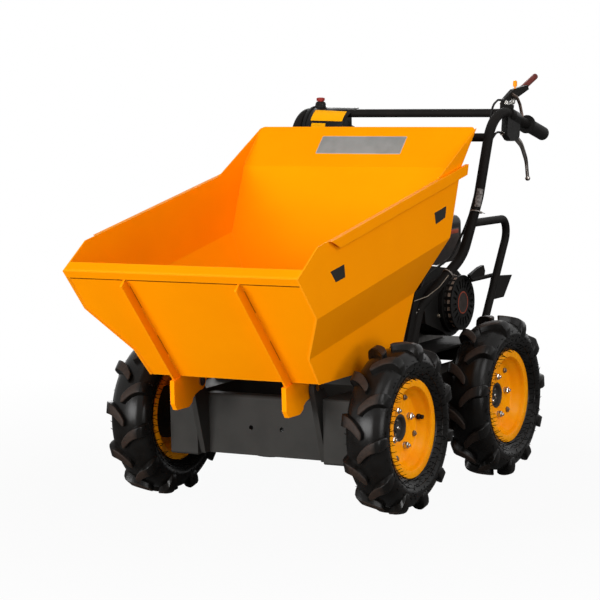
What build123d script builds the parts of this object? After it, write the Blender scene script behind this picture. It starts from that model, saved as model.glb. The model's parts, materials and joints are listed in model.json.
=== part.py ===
from build123d import *
import os
from math import atan2, cos, degrees, hypot, radians, sin, tan

# A walk-behind site dumper: a tipping skip on a four-wheel chassis with an open engine behind it.
# Millimetres. +Z up, -Y is the way it drives, +X its left side. The origin is on the floor,
# midway between the axles and in the middle of the track.

os.makedirs("parts", exist_ok=True)

# ---------------------------------------------------------------- driving sizes
# wheels
wheelbase = 542.0
wheel_mid_x = 328.0          # middle of each tyre from the centre plane
tyre_radius = 206.0          # out to the lugs' tips
tyre_width = 110.0
lug_height = 14.5
lug_count = 11               # in each of the two rows
lug_half_width = 12.5
lug_end_half = 8.5           # half width where a lug ends on the side wall
lug_root_depth = 5.0         # how deep a lug's root lies in the carcass
flange_radius = 118.0        # rim flange
seat_radius = 101.6          # bead seat
rim_width = 76.0
rim_wall = 3.0
nave_hole_radius = 33.0
stud_circle_radius = 50.0
stud_count = 4
stud_radius = 6.0
stud_clearance = 0.3
nut_radius = 9.5
nut_height = 12.0
hub_flange_radius = 65.0
hub_flange_thick = 8.0
hub_fit = 0.3                # hub's spigot in the nave hole
hub_dish = 6.0               # how deep the hub's end is hollowed
axle_radius = 12.5
axle_clearance = 0.08        # radial, in the bearing housing
bearing_radius = 32.0
bearing_reach = 14.0         # how far the bearing housing stands out of the side case
hub_gap = 3.0                # bearing housing to hub flange

# chassis
case_inner_x = 176.0
case_outer_x = 254.0
case_bottom = 122.0
case_top = 281.0
case_half_length = 369.0
case_corner = 6.0
end_plate_inset = 34.0       # front and rear plates' outer faces from the cases' ends
end_plate_thick = 5.0
end_plate_bottom = 125.0
end_plate_top = 272.0
end_plate_fold = 36.0
end_plate_bend = 9.0
end_plate_y = case_half_length - end_plate_inset
hitch_hole_x = 43.0
hitch_hole_z = 193.0
hitch_hole_radius = 5.75

# tipping hinge
hinge_y = -390.0
hinge_z = 310.0
pin_radius = 8.0
pin_clearance = 0.06
pin_head_radius = 12.0
pin_head_thick = 4.0
bracket_thick = 14.0
bracket_boss = 17.0
ear_thick = 12.0
ear_x = 154.0                # middle of each ear and rib
ear_boss = 22.0

# skip, outer faces, in side view
sheet = 3.0
lip_sheet = 4.0
fold_tilt = 10.5             # degrees, rise of the side folds towards the back
lip_y = -716.0
lip_z = 605.0
side_nose_y = -622.0         # front end of the side's top edge
side_nose_z = 668.0
floor_z = 334.0
floor_front_y = -483.0
floor_back_y = -72.0
back_fold_y = 110.0
back_fold_z = 799.0
flange_top_y = 207.0
flange_top_z = 896.0
wing_front_y = -14.0
flange_corner = 12.0
panel_inset = 4.0            # front panel behind the sides' front edge
lip_drop = 22.0
lip_depth = 34.0
upper_half_width = 316.0
lower_half_width = 241.2
lower_taper = 0.096
lower_fold_w = 491.5         # fold heights, square to the folds
upper_fold_w = 613.7
strip_height = 25.0
strip_thick = 10.0
strip_overhang = 27.0
rib_thick = 5.0
rib_depth = 25.0
rest_gap = 0.3
pad_thick = 8.0

# engine
deck_top = 327.0
deck_thick = 6.0
crank_y = 346.0
crank_z = 433.0
block_low_x = -70.0
block_high_x = 96.0
block_half = 92.0
crank_radius = 12.0
shroud_radius = 89.0
shroud_back_x = 96.0
shroud_face_x = 168.0
recoil_radius = 70.5
recoil_face_x = 202.0
recoil_slot_count = 20
recoil_slot_length = 22.0
recoil_slot_width = 6.0
recoil_slot_middle = 50.0
recoil_slot_depth = 4.0
cylinder_tilt = 25.0
cylinder_reach = 205.0
cylinder_half = 56.0
tank_low_x = -120.0
tank_high_x = 128.0
tank_front_y = 292.0
tank_back_y = 520.0
tank_bottom = 531.0
tank_top = 651.0
cap_radius = 30.0
cap_height = 16.0

# handlebars
tube_radius = 13.0
upper_bar_radius = 8.5
lower_bar_radius = 11.0
guard_radius = 10.5
upper_bar_y = 400.0
upper_bar_z = 925.0
lower_bar_y = 334.0
lower_bar_z = 865.0
grip_radius = 18.5
grip_length = 106.0
grip_end = 5.0               # rubber behind the tube's end
weld_gap = 0.3


def offset_points(points, distance):
    """An open line's points moved to its left by distance, with mitred corners."""
    moved = []
    for i, (u, v) in enumerate(points):
        turns = []
        for j in (i - 1, i):
            if 0 <= j < len(points) - 1:
                du = points[j + 1][0] - points[j][0]
                dv = points[j + 1][1] - points[j][1]
                run = hypot(du, dv)
                turns.append((-dv / run, du / run))
        nu = sum(t[0] for t in turns) / len(turns)
        nv = sum(t[1] for t in turns) / len(turns)
        share = distance / (nu * nu + nv * nv)
        moved.append((u + nu * share, v + nv * share))
    return moved


def along(start, end, distance):
    """The point at a distance from start towards end."""
    run = hypot(end[0] - start[0], end[1] - start[1])
    return (start[0] + (end[0] - start[0]) * distance / run, start[1] + (end[1] - start[1]) * distance / run)


# ---------------------------------------------------------------- wheels
wheel_places = [
    # name, side (+1 left, -1 right), axle place, then how far its lugs and its studs are turned,
    # in degrees from the front towards the top
    ("front_left", 1, -wheelbase / 2, 19.5, 64.0),
    ("front_right", -1, -wheelbase / 2, 0.5, 20.0),
    ("rear_left", 1, wheelbase / 2, 2.0, 82.5),
    ("rear_right", -1, wheelbase / 2, 9.0, 41.0),
]
flange_x = wheel_mid_x + rim_width / 2
carcass_radius = tyre_radius - lug_height
shoulder_x = tyre_width / 2


bead_x = rim_width / 2 - rim_wall - 0.3


def tyre_section():
    """Section of the tyre without lugs above the axle, as x from the wheel's middle and radius."""
    half = [
        (0, carcass_radius - 1), (shoulder_x - 26, carcass_radius - 3), (shoulder_x - 8, flange_radius + 57),
        (shoulder_x - 2.5, flange_radius + 38), (shoulder_x - 14.5, flange_radius + 6.5),
        (bead_x, flange_radius + 0.8), (bead_x, seat_radius + 0.3), (0, seat_radius + 0.3),
    ]
    with BuildLine() as line:
        Polyline(*half)
        mirror(about=Plane.YZ)
    return line


# one lug stands at the top of a wheel whose middle is the origin; its line on the tread is
# (x outwards, how far back), from its inner end to where it turns down the side wall
lug_line = [(-4, -17), (26, 9), (shoulder_x + 4, 17)]
lug_tip = along(lug_line[0], lug_line[1], -lug_half_width * 0.6)
lug_top = tyre_radius + 1
lug_side = [
    # x and height of the lug's outer face, from the middle of the tread to its foot, then its root
    (-20, lug_top), (37, lug_top), (shoulder_x - 2, tyre_radius - 15), (shoulder_x, tyre_radius - 28),
    (shoulder_x - 2, flange_radius + 36), (shoulder_x - 8, flange_radius + 36),
    (shoulder_x - 28, carcass_radius - 4 - lug_root_depth), (-20, carcass_radius - 4 - lug_root_depth),
]
lug_foot = flange_radius + 30
with BuildPart() as lug:
    with BuildSketch(Plane.XY.offset(lug_foot)):
        with BuildLine():
            back_edge = offset_points(lug_line, lug_half_width)
            front_edge = offset_points(lug_line, -lug_half_width)
            Polyline(*back_edge, *reversed(front_edge), lug_tip, close=True)
        make_face()
    extrude(amount=lug_top - lug_foot)
    with BuildSketch(Plane.XZ.offset(-tyre_width)):
        with BuildLine():
            Polyline(*lug_side, close=True)
        make_face()
    extrude(amount=2 * tyre_width, mode=Mode.INTERSECT)
    with BuildSketch(Plane.YZ.offset(-tyre_width)):
        Circle(tyre_radius)
    extrude(amount=2 * tyre_width, mode=Mode.INTERSECT)
    # narrower down the side wall
    with BuildSketch(Plane.YZ.offset(shoulder_x - 20)):
        for way in (-1, 1):
            with BuildLine():
                Polyline(
                    (lug_line[-1][1] + way * lug_end_half, lug_foot),
                    (lug_line[-1][1] + way * lug_half_width, carcass_radius - 8),
                    (lug_line[-1][1] + way * 2 * lug_half_width, carcass_radius - 8),
                    (lug_line[-1][1] + way * 2 * lug_half_width, lug_foot),
                    close=True,
                )
            make_face()
    extrude(amount=tyre_width, mode=Mode.SUBTRACT)

with BuildPart() as lug_mirrored:
    mirror(lug.part, about=Plane.YZ)

# a tyre about the origin: lugs in two rows, one half a pitch behind the other
lug_pitch = 360 / lug_count
lug_start = degrees(atan2(-lug_line[0][1], tyre_radius))
lug_rows = [
    # the lug that the row repeats, where its first one stands, in degrees from the front
    (lug, lug_start),
    (lug_mirrored, lug_start + lug_pitch / 2),
]
with BuildPart() as lugged_tyre:
    with BuildSketch(Plane.XZ):
        add(tyre_section().line)
        make_face()
    revolve(axis=Axis.X)
    for row_lug, first in lug_rows:
        add([row_lug.part.rotate(Axis.X, 90 - first - i * lug_pitch) for i in range(lug_count)])

with BuildPart() as lugged_tyre_mirrored:
    mirror(lugged_tyre.part, about=Plane.YZ)


def make_wheel(name, side, axle_y, lug_turn, stud_turn):
    """Tyre, rim and hub of one wheel, drawn in a plane through its axle with x outwards."""
    middle = (side * wheel_mid_x, axle_y, tyre_radius)
    section_plane = Plane(middle, x_dir=(side, 0, 0), z_dir=(0, -side, 0))
    axle_line = Axis(middle, (1, 0, 0))

    with BuildPart() as tyre:
        with Locations(Location(middle, (-lug_turn, 0, 0))):
            add((lugged_tyre if side > 0 else lugged_tyre_mirrored).part)
    tyre.part.label = f"tyre_{name}"
    export_step(tyre.part, f"parts/tyre_{name}.step")

    edge = rim_width / 2
    nave_face = Plane(middle, x_dir=(0, -1, 0), z_dir=(side, 0, 0))
    stud_start = -side * stud_turn
    with BuildPart() as rim:
        with BuildSketch(section_plane):
            with BuildLine():
                Polyline(
                    (-edge, flange_radius), (-edge, seat_radius - rim_wall), (-8, seat_radius - rim_wall),
                    (-8, seat_radius - 20), (0, seat_radius - 26), (0, nave_hole_radius),
                    (rim_wall, nave_hole_radius), (rim_wall, seat_radius - 24), (edge - 12, seat_radius - rim_wall),
                    (edge, seat_radius - rim_wall), (edge, flange_radius), (edge - rim_wall, flange_radius),
                    (edge - rim_wall, seat_radius), (-edge + rim_wall, seat_radius),
                    (-edge + rim_wall, flange_radius), (-edge, flange_radius),
                )
            make_face()
        revolve(axis=axle_line)
        with BuildSketch(nave_face):
            with PolarLocations(stud_circle_radius, stud_count, start_angle=stud_start):
                Circle(stud_radius + stud_clearance)
        extrude(amount=rim_wall, mode=Mode.SUBTRACT)
    rim.part.label = f"rim_{name}"
    export_step(rim.part, f"parts/rim_{name}.step")

    axle_inner = case_outer_x - 10.0 - wheel_mid_x
    with BuildPart() as hub:
        with BuildSketch(section_plane):
            with BuildLine():
                Polyline(
                    (axle_inner, 0), (axle_inner, axle_radius), (-hub_flange_thick - 14, axle_radius),
                    (-hub_flange_thick - 14, 26), (-hub_flange_thick, 26), (-hub_flange_thick, hub_flange_radius),
                    (0, hub_flange_radius), (0, nave_hole_radius - hub_fit), (rim_wall, nave_hole_radius - hub_fit),
                    (rim_wall, nave_hole_radius - 6), (rim_wall - hub_dish, nave_hole_radius - 9),
                    (rim_wall - hub_dish, 0), (axle_inner, 0),
                )
            make_face()
        revolve(axis=axle_line)
        with BuildSketch(nave_face):
            with PolarLocations(stud_circle_radius, stud_count, start_angle=stud_start):
                Circle(stud_radius)
        extrude(amount=rim_wall)
        with BuildSketch(nave_face.offset(rim_wall)):
            with PolarLocations(stud_circle_radius, stud_count, start_angle=stud_start):
                RegularPolygon(nut_radius, 6)
        extrude(amount=nut_height)
    hub.part.label = f"hub_{name}"
    export_step(hub.part, f"parts/hub_{name}.step")


for wheel_name, wheel_side, wheel_y, wheel_lug_turn, wheel_stud_turn in wheel_places:
    make_wheel(wheel_name, wheel_side, wheel_y, wheel_lug_turn, wheel_stud_turn)

# ---------------------------------------------------------------- chassis
with BuildPart() as side_cases:
    with BuildSketch(Plane.YZ.offset(case_inner_x)):
        with Locations((0, (case_bottom + case_top) / 2)):
            RectangleRounded(2 * case_half_length, case_top - case_bottom, case_corner)
    extrude(amount=case_outer_x - case_inner_x)
    with BuildSketch(Plane.YZ.offset(case_outer_x)):
        with Locations((-wheelbase / 2, tyre_radius), (wheelbase / 2, tyre_radius)):
            Circle(bearing_radius)
    extrude(amount=bearing_reach)
    with BuildSketch(Plane.YZ.offset(case_outer_x + bearing_reach)):
        with Locations((-wheelbase / 2, tyre_radius), (wheelbase / 2, tyre_radius)):
            Circle(axle_radius + axle_clearance)
    extrude(amount=-bearing_reach - 12.0, mode=Mode.SUBTRACT)
    mirror(about=Plane.YZ)
side_cases.part.label = "side_cases"
export_step(side_cases.part, "parts/side_cases.step")


def end_plate(way, holes):
    """The pressed plate at one end of the chassis; way is -1 at the front and +1 at the rear."""
    with BuildPart() as plate:
        with BuildSketch(Plane.YZ):
            with BuildLine():
                Polyline(
                    (way * end_plate_y, end_plate_bottom), (way * end_plate_y, end_plate_top),
                    (way * (end_plate_y - end_plate_fold), end_plate_top),
                    (way * (end_plate_y - end_plate_fold), end_plate_top - end_plate_thick),
                    (way * (end_plate_y - end_plate_thick), end_plate_top - end_plate_thick),
                    (way * (end_plate_y - end_plate_thick), end_plate_bottom),
                    (way * end_plate_y, end_plate_bottom),
                )
            make_face()
        extrude(amount=case_inner_x, both=True)
        outer_bend = plate.edges().filter_by(Axis.X).group_by(Axis.Z)[-1].sort_by(Axis.Y)
        fillet(outer_bend[0] if way < 0 else outer_bend[-1], end_plate_bend)
        if holes:
            with BuildSketch(Plane.XZ.offset(end_plate_y)):
                with Locations((-hitch_hole_x, hitch_hole_z), (hitch_hole_x, hitch_hole_z)):
                    Circle(hitch_hole_radius)
            extrude(amount=-end_plate_thick, mode=Mode.SUBTRACT)
    return plate


front_plate = end_plate(-1, True)
front_plate.part.label = "front_plate"
export_step(front_plate.part, "parts/front_plate.step")

rear_plate = end_plate(1, False)
rear_plate.part.label = "rear_plate"
export_step(rear_plate.part, "parts/rear_plate.step")

# cross rails lie on the cases: one under the skip with rest pads, two under the engine deck
rail_width = 40.0
rail_wall = 4.0
skip_rail_y = -140.0
deck_rail_half = 205.0
deck_rail_front_y = 154.0
deck_rail_back_y = case_half_length - 20.0
rail_top = deck_top - deck_thick
skip_rail_top = floor_z - rest_gap - pad_thick
with BuildPart() as frame_rails:
    for rail_y, rail_half, top in (
        (skip_rail_y, case_outer_x, skip_rail_top),
        (deck_rail_front_y, deck_rail_half, rail_top),
        (deck_rail_back_y, deck_rail_half, rail_top),
    ):
        with BuildSketch(Plane.YZ.offset(-rail_half)):
            with Locations((rail_y, (case_top + top) / 2)):
                Rectangle(rail_width, top - case_top)
            with Locations((rail_y, (case_top + top) / 2 - rail_wall)):
                Rectangle(rail_width - 2 * rail_wall, top - case_top, mode=Mode.SUBTRACT)
        extrude(amount=2 * rail_half)
frame_rails.part.label = "frame_rails"
export_step(frame_rails.part, "parts/frame_rails.step")

with BuildPart() as rest_pads:
    with BuildSketch(Plane.XY.offset(skip_rail_top)):
        with Locations((-150, skip_rail_y), (150, skip_rail_y)):
            RectangleRounded(60, 30, 6)
    extrude(amount=pad_thick)
rest_pads.part.label = "rest_pads"
export_step(rest_pads.part, "parts/rest_pads.step")

deck_front_y = 134.0
deck_back_y = 462.0
belt_x_low = -152.0
belt_x_high = -116.0
belt_clearance = 6.0
belt_slot_y = (204.0, 334.0)
with BuildPart() as engine_deck:
    with BuildSketch(Plane.XY.offset(rail_top)):
        with Locations((0, (deck_front_y + deck_back_y) / 2)):
            RectangleRounded(2 * deck_rail_half, deck_back_y - deck_front_y, 12)
        with Locations(((belt_x_low + belt_x_high) / 2, (belt_slot_y[0] + belt_slot_y[1]) / 2)):
            belt_slot = belt_x_high - belt_x_low + 2 * belt_clearance
            Rectangle(belt_slot, belt_slot_y[1] - belt_slot_y[0], mode=Mode.SUBTRACT)
    extrude(amount=deck_thick)
engine_deck.part.label = "engine_deck"
export_step(engine_deck.part, "parts/engine_deck.step")

gearbox_mid_y = 150.0
gearbox_half_x = 92.0
gearbox_half_y = 85.0
output_y = 118.0
input_y = 205.0
input_z = 232.0
input_radius = 10.0
gearbox_bottom = 140.0
gearbox_top = 268.0
shaft_radius = 18.0
with BuildPart() as gearbox:
    with BuildSketch(Plane.XY.offset(gearbox_bottom)):
        with Locations((0, gearbox_mid_y)):
            RectangleRounded(2 * gearbox_half_x, 2 * gearbox_half_y, 14)
    extrude(amount=gearbox_top - gearbox_bottom)
    with BuildSketch(Plane.YZ.offset(-case_inner_x)):
        with Locations((output_y, tyre_radius)):
            Circle(shaft_radius)
    extrude(amount=2 * case_inner_x)
    with BuildSketch(Plane.YZ.offset(belt_x_high)):
        with Locations((input_y, input_z)):
            Circle(input_radius)
    extrude(amount=-belt_x_high - gearbox_half_x)
gearbox.part.label = "gearbox"
export_step(gearbox.part, "parts/gearbox.step")

bracket_inner_x = case_inner_x - bracket_thick
with BuildPart() as hinge_brackets:
    with BuildSketch(Plane.YZ.offset(bracket_inner_x)):
        with BuildLine():
            Polyline(
                (hinge_y - bracket_boss, hinge_z - 6), (-end_plate_y - 21, case_bottom + 4),
                (-end_plate_y, case_bottom + 4),
                (-end_plate_y, end_plate_top - 4), (hinge_y + bracket_boss + 16, hinge_z - 6),
                (hinge_y - bracket_boss, hinge_z - 6),
            )
        make_face()
        with Locations((hinge_y, hinge_z - 6)):
            Circle(bracket_boss)
        with Locations((hinge_y, hinge_z)):
            Circle(bracket_boss)
            Circle(pin_radius, mode=Mode.SUBTRACT)
    extrude(amount=bracket_thick)
    mirror(about=Plane.YZ)
hinge_brackets.part.label = "hinge_brackets"
export_step(hinge_brackets.part, "parts/hinge_brackets.step")

pin_end_x = ear_x - ear_thick / 2 - rest_gap
with BuildPart() as hinge_pins:
    with BuildSketch(Plane.YZ.offset(pin_end_x)):
        with Locations((hinge_y, hinge_z)):
            Circle(pin_radius)
    extrude(amount=case_inner_x - pin_end_x)
    with BuildSketch(Plane.YZ.offset(pin_end_x)):
        with Locations((hinge_y, hinge_z)):
            Circle(pin_head_radius)
    extrude(amount=-pin_head_thick)
    mirror(about=Plane.YZ)
hinge_pins.part.label = "hinge_pins"
export_step(hinge_pins.part, "parts/hinge_pins.step")

# ---------------------------------------------------------------- skip
lip = (lip_y, lip_z)
floor_front = (floor_front_y, floor_z)
floor_back = (floor_back_y, floor_z)
back_fold = (back_fold_y, back_fold_z)
flange_top = (flange_top_y, flange_top_z)
side_nose = (side_nose_y, side_nose_z)
wing_front = (wing_front_y, side_nose_z + (wing_front_y - side_nose_y) * tan(radians(fold_tilt)))

front_line = offset_points([lip, floor_front], panel_inset)
front_slope = (floor_front_y - lip_y) / (lip_z - floor_z)
panel_foot = (front_line[1][0] + (front_line[1][1] - floor_z) * front_slope, floor_z)
belly_outer = [front_line[0], panel_foot, floor_back, back_fold, flange_top]
belly_inner = offset_points(belly_outer, sheet)

fold_plane = Plane.XZ.rotated((fold_tilt, 0, 0))
side_outer = [
    (lower_half_width - lower_taper * lower_fold_w, 0),
    (lower_half_width, lower_fold_w),
    (upper_half_width, upper_fold_w),
    (upper_half_width, flange_top_z + 50),
]
side_inner = offset_points(side_outer, sheet)
side_reach = 2 * (flange_top_y - lip_y)


def between_sides():
    """The section of the space between the two side sheets."""
    with BuildSketch(fold_plane) as space:
        with BuildLine():
            mirrored = [(-u, v) for u, v in reversed(side_inner)]
            Polyline(*side_inner, *mirrored, close=True)
        make_face()
    return space.sketch


def belly_profile(first, last):
    """The sheet's edge between two corners of the skip's long section."""
    with BuildSketch(Plane.YZ) as profile:
        with BuildLine():
            Polyline(*belly_outer[first:last + 1], *reversed(belly_inner[first:last + 1]), close=True)
        make_face()
    return profile.sketch


def make_belly_panel(first, last):
    """One panel of the skip's long sheet, trimmed to the sides' inner faces."""
    with BuildPart() as panel:
        extrude(belly_profile(first, last), amount=upper_half_width, both=True)
        extrude(between_sides(), amount=side_reach, both=True, mode=Mode.INTERSECT)
    return panel


lip_outer = [along(lip, floor_front, lip_drop), lip, along(lip, side_nose, lip_depth)]
lip_inner = offset_points(lip_outer, -lip_sheet)
with BuildPart() as skip_front:
    extrude(belly_profile(0, 1), amount=upper_half_width, both=True)
    with BuildSketch(Plane.YZ):
        with BuildLine():
            Polyline(*lip_outer, *reversed(lip_inner), close=True)
        make_face()
    extrude(amount=upper_half_width, both=True)
    extrude(between_sides(), amount=side_reach, both=True, mode=Mode.INTERSECT)
skip_front.part.label = "skip_front"
export_step(skip_front.part, "parts/skip_front.step")

skip_floor = make_belly_panel(1, 2)
skip_floor.part.label = "skip_floor"
export_step(skip_floor.part, "parts/skip_floor.step")

skip_back = make_belly_panel(2, 4)
with skip_back:
    flange_corners = skip_back.faces().sort_by(Axis.Z)[-1].edges().filter_by(lambda edge: edge.length < 2 * sheet)
    fillet(flange_corners, flange_corner)
skip_back.part.label = "skip_back"
export_step(skip_back.part, "parts/skip_back.step")

with BuildPart() as skip_sides:
    with BuildSketch(fold_plane):
        with BuildLine():
            Polyline(*side_outer, *reversed(side_inner), close=True)
        make_face()
    extrude(amount=side_reach, both=True)
    with BuildSketch(Plane.YZ):
        with BuildLine():
            Polyline(lip, floor_front, floor_back, back_fold, flange_top, wing_front, side_nose, close=True)
        make_face()
    extrude(amount=upper_half_width + sheet, mode=Mode.INTERSECT)
    fillet(skip_sides.edges().filter_by(Axis.X).sort_by(Axis.Z)[-1], flange_corner)
    mirror(about=Plane.YZ)
skip_sides.part.label = "skip_sides"
export_step(skip_sides.part, "parts/skip_sides.step")

# the folded strip outside each side's top edge
rise = tan(radians(fold_tilt))
strip_front_y = side_nose_y + 48.0
strip_back_y = back_fold_y + strip_overhang


def top_edge(y):
    """A point on the side's top edge."""
    return (y, side_nose_z + (y - side_nose_y) * rise)


def below(point, drop):
    """A point straight below another."""
    return (point[0], point[1] - drop)


with BuildPart() as skip_strips:
    strip_top = [top_edge(strip_front_y), top_edge(strip_back_y)]
    strip_low = [below(top_edge(strip_back_y - 8), strip_height), below(top_edge(strip_front_y + 40), strip_height)]
    with BuildSketch(Plane.YZ.offset(upper_half_width)):
        with BuildLine():
            Polyline(*strip_top, *strip_low, close=True)
        make_face()
    extrude(amount=strip_thick)
    # the fold is open below and at both ends
    fold_top = [below(top_edge(strip_front_y - 60), sheet), below(top_edge(strip_back_y + 60), sheet)]
    fold_low = [below(point, 2 * strip_height) for point in reversed(fold_top)]
    with BuildSketch(Plane.YZ.offset(upper_half_width)):
        with BuildLine():
            Polyline(*fold_top, *fold_low, close=True)
        make_face()
    extrude(amount=strip_thick - sheet, mode=Mode.SUBTRACT)
    mirror(about=Plane.YZ)
skip_strips.part.label = "skip_strips"
export_step(skip_strips.part, "parts/skip_strips.step")

rib_outer = offset_points([front_line[0], panel_foot], -rib_depth)
rib_top_gap = lip_drop + rest_gap
ear_bottom = 254.0
with BuildPart() as skip_ribs:
    rib_start = along(front_line[0], panel_foot, rib_top_gap)
    rib_start_out = along(rib_outer[0], rib_outer[1], rib_top_gap + rib_depth / 2)
    rib_foot_out = along(rib_outer[0], rib_outer[1], hypot(panel_foot[0] - lip_y, panel_foot[1] - lip_z))
    with BuildSketch(Plane.YZ.offset(ear_x - rib_thick / 2)):
        with BuildLine():
            Polyline(rib_start, panel_foot, rib_foot_out, rib_start_out, close=True)
        make_face()
    extrude(amount=rib_thick)
    with BuildSketch(Plane.YZ.offset(ear_x - ear_thick / 2)):
        with BuildLine():
            Polyline(
                (-470, floor_z), (-511, floor_z - 8), (-511, ear_bottom + 16), (-500, ear_bottom),
                (-448, ear_bottom), (-431, ear_bottom + 10), (-428, ear_bottom + 19), (hinge_y - 28, hinge_z - 30),
                (hinge_y, hinge_z - ear_boss + 2), (hinge_y + 34, hinge_z + 6), (hinge_y + 60, floor_z),
                close=True,
            )
        make_face()
        with Locations((hinge_y, hinge_z)):
            Circle(ear_boss)
            Circle(pin_radius + pin_clearance, mode=Mode.SUBTRACT)
    extrude(amount=ear_thick)
    mirror(about=Plane.YZ)
skip_ribs.part.label = "skip_ribs"
export_step(skip_ribs.part, "parts/skip_ribs.step")

# ---------------------------------------------------------------- engine
with BuildPart() as crankcase:
    with BuildSketch(Plane.YZ.offset(block_low_x)):
        with Locations((crank_y, crank_z - 4)):
            Circle(block_half - 10)
        with Locations((crank_y, (deck_top + 18 + crank_z) / 2)):
            Rectangle(2 * block_half - 34, crank_z - deck_top - 18)
        with Locations((crank_y, deck_top + 9)):
            Rectangle(2 * block_half, 18)
    extrude(amount=block_high_x - block_low_x)
    with BuildSketch(Plane.YZ.offset(belt_x_high)):
        with Locations((crank_y, crank_z)):
            Circle(crank_radius)
    extrude(amount=block_low_x - belt_x_high)
crankcase.part.label = "crankcase"
export_step(crankcase.part, "parts/crankcase.step")

# the cylinder leans forward, its length measured from the crank
cylinder_plane = Plane((0, crank_y, crank_z + 6), x_dir=(1, 0, 0), z_dir=(0, -cos(radians(cylinder_tilt)), sin(radians(cylinder_tilt))))
fin_count = 9
fin_thick = 3.0
fin_depth = 13.0
fin_start = block_half - 6.0
fin_pitch = (cylinder_reach - fin_start) / fin_count
with BuildPart() as cylinder:
    with BuildSketch(cylinder_plane.offset(block_half - 30)):
        with Locations((10, 0)):
            Rectangle(2 * (cylinder_half - fin_depth) + 20, 2 * (cylinder_half - fin_depth))
    extrude(amount=cylinder_reach - block_half + 30)
    for i in range(fin_count):
        with BuildSketch(cylinder_plane.offset(fin_start + i * fin_pitch)):
            with Locations((10, 0)):
                Rectangle(2 * cylinder_half + 20, 2 * cylinder_half)
        extrude(amount=fin_thick)
    # the valve cover on the cylinder's end
    with BuildSketch(cylinder_plane.offset(cylinder_reach - 12)):
        with Locations((10, 0)):
            RectangleRounded(96, 84, 12)
    extrude(amount=26)
    add(crankcase.part, mode=Mode.SUBTRACT)
cylinder.part.label = "cylinder"
export_step(cylinder.part, "parts/cylinder.step")

with BuildPart() as fan_housing:
    with BuildSketch(Plane.YZ.offset(shroud_back_x)):
        with Locations((crank_y, crank_z)):
            Circle(shroud_radius)
        with BuildLine():
            Polyline(
                (crank_y, crank_z + shroud_radius), (crank_y - 130, crank_z + shroud_radius + 20),
                (crank_y - 165, crank_z + 60), (crank_y - 150, crank_z - 40), (crank_y, crank_z - shroud_radius),
                close=True,
            )
        make_face()
    extrude(amount=shroud_face_x - shroud_back_x)
fan_housing.part.label = "fan_housing"
export_step(fan_housing.part, "parts/fan_housing.step")

with BuildPart() as recoil_cover:
    with BuildSketch(Plane.YZ.offset(shroud_face_x)):
        with Locations((crank_y, crank_z)):
            Circle(recoil_radius + 8)
    extrude(amount=12)
    with BuildSketch(Plane.YZ.offset(shroud_face_x + 12)):
        with Locations((crank_y, crank_z)):
            Circle(recoil_radius)
    extrude(amount=recoil_face_x - shroud_face_x - 12)
    # slots in its face and round its side let the fan draw air
    with BuildSketch(Plane.YZ.offset(recoil_face_x)):
        with Locations((crank_y, crank_z)):
            with PolarLocations(recoil_slot_middle, recoil_slot_count):
                Rectangle(recoil_slot_length, recoil_slot_width)
    extrude(amount=-recoil_slot_depth, mode=Mode.SUBTRACT)
    with BuildSketch(Plane.YZ.offset(recoil_face_x - 5)):
        with Locations((crank_y, crank_z)):
            with PolarLocations(recoil_radius, recoil_slot_count // 2, start_angle=180 / recoil_slot_count):
                Rectangle(8, 9)
    extrude(amount=-14, mode=Mode.SUBTRACT)
recoil_cover.part.label = "recoil_cover"
export_step(recoil_cover.part, "parts/recoil_cover.step")

with BuildPart() as fuel_tank:
    with BuildSketch(Plane.XY.offset(tank_bottom)):
        with Locations(((tank_low_x + tank_high_x) / 2, (tank_front_y + tank_back_y) / 2)):
            RectangleRounded(tank_high_x - tank_low_x, tank_back_y - tank_front_y, 36)
    extrude(amount=tank_top - tank_bottom)
    fillet(fuel_tank.faces().sort_by(Axis.Z)[-1].edges(), 22)
    with BuildSketch(Plane.XY.offset(tank_top)):
        with Locations((0, (tank_front_y + tank_back_y) / 2)):
            Circle(cap_radius)
    extrude(amount=cap_height)
    # two legs carry the tank on the crankcase
    with BuildSketch(Plane.XY.offset(tank_bottom)):
        with Locations((-40, crank_y), (60, crank_y)):
            Rectangle(24, 50)
    extrude(amount=-(tank_bottom - crank_z - block_half + 20))
    add(crankcase.part, mode=Mode.SUBTRACT)
fuel_tank.part.label = "fuel_tank"
export_step(fuel_tank.part, "parts/fuel_tank.step")

# ---------------------------------------------------------------- handlebars
grip_x = 290.0
handle_route = [
    # x, y, z up the left tube's centre line, then back along the grip
    (200, 44, 345),
    (202, 92, 445),
    (256, 238, 567),
    (280, 287, 716),
    (grip_x, 363, 947),
    (grip_x, 665, 860),
]
handle_bends = [60, 110, 200, 95]

gusset_thick = 8.0
with BuildPart() as handle_left:
    with BuildLine() as handle_line:
        FilletPolyline(*handle_route, radius=handle_bends)
    with BuildSketch(Plane(handle_line.line @ 0, z_dir=handle_line.line % 0)):
        Circle(tube_radius)
    sweep()
    with BuildSketch(Plane.YZ.offset(200 - gusset_thick / 2)):
        with BuildLine():
            Polyline(
                (-20, case_top), (60, case_top), (86, 372), (104, 440), (180, 470), (214, 500), (190, 512),
                (70, 486), close=True,
            )
        make_face()
    extrude(amount=gusset_thick)
handle_left.part.label = "handle_left"
export_step(handle_left.part, "parts/handle_left.step")

with BuildPart() as handle_right:
    add(mirror(handle_left.part, about=Plane.YZ))
handle_right.part.label = "handle_right"
export_step(handle_right.part, "parts/handle_right.step")

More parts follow.
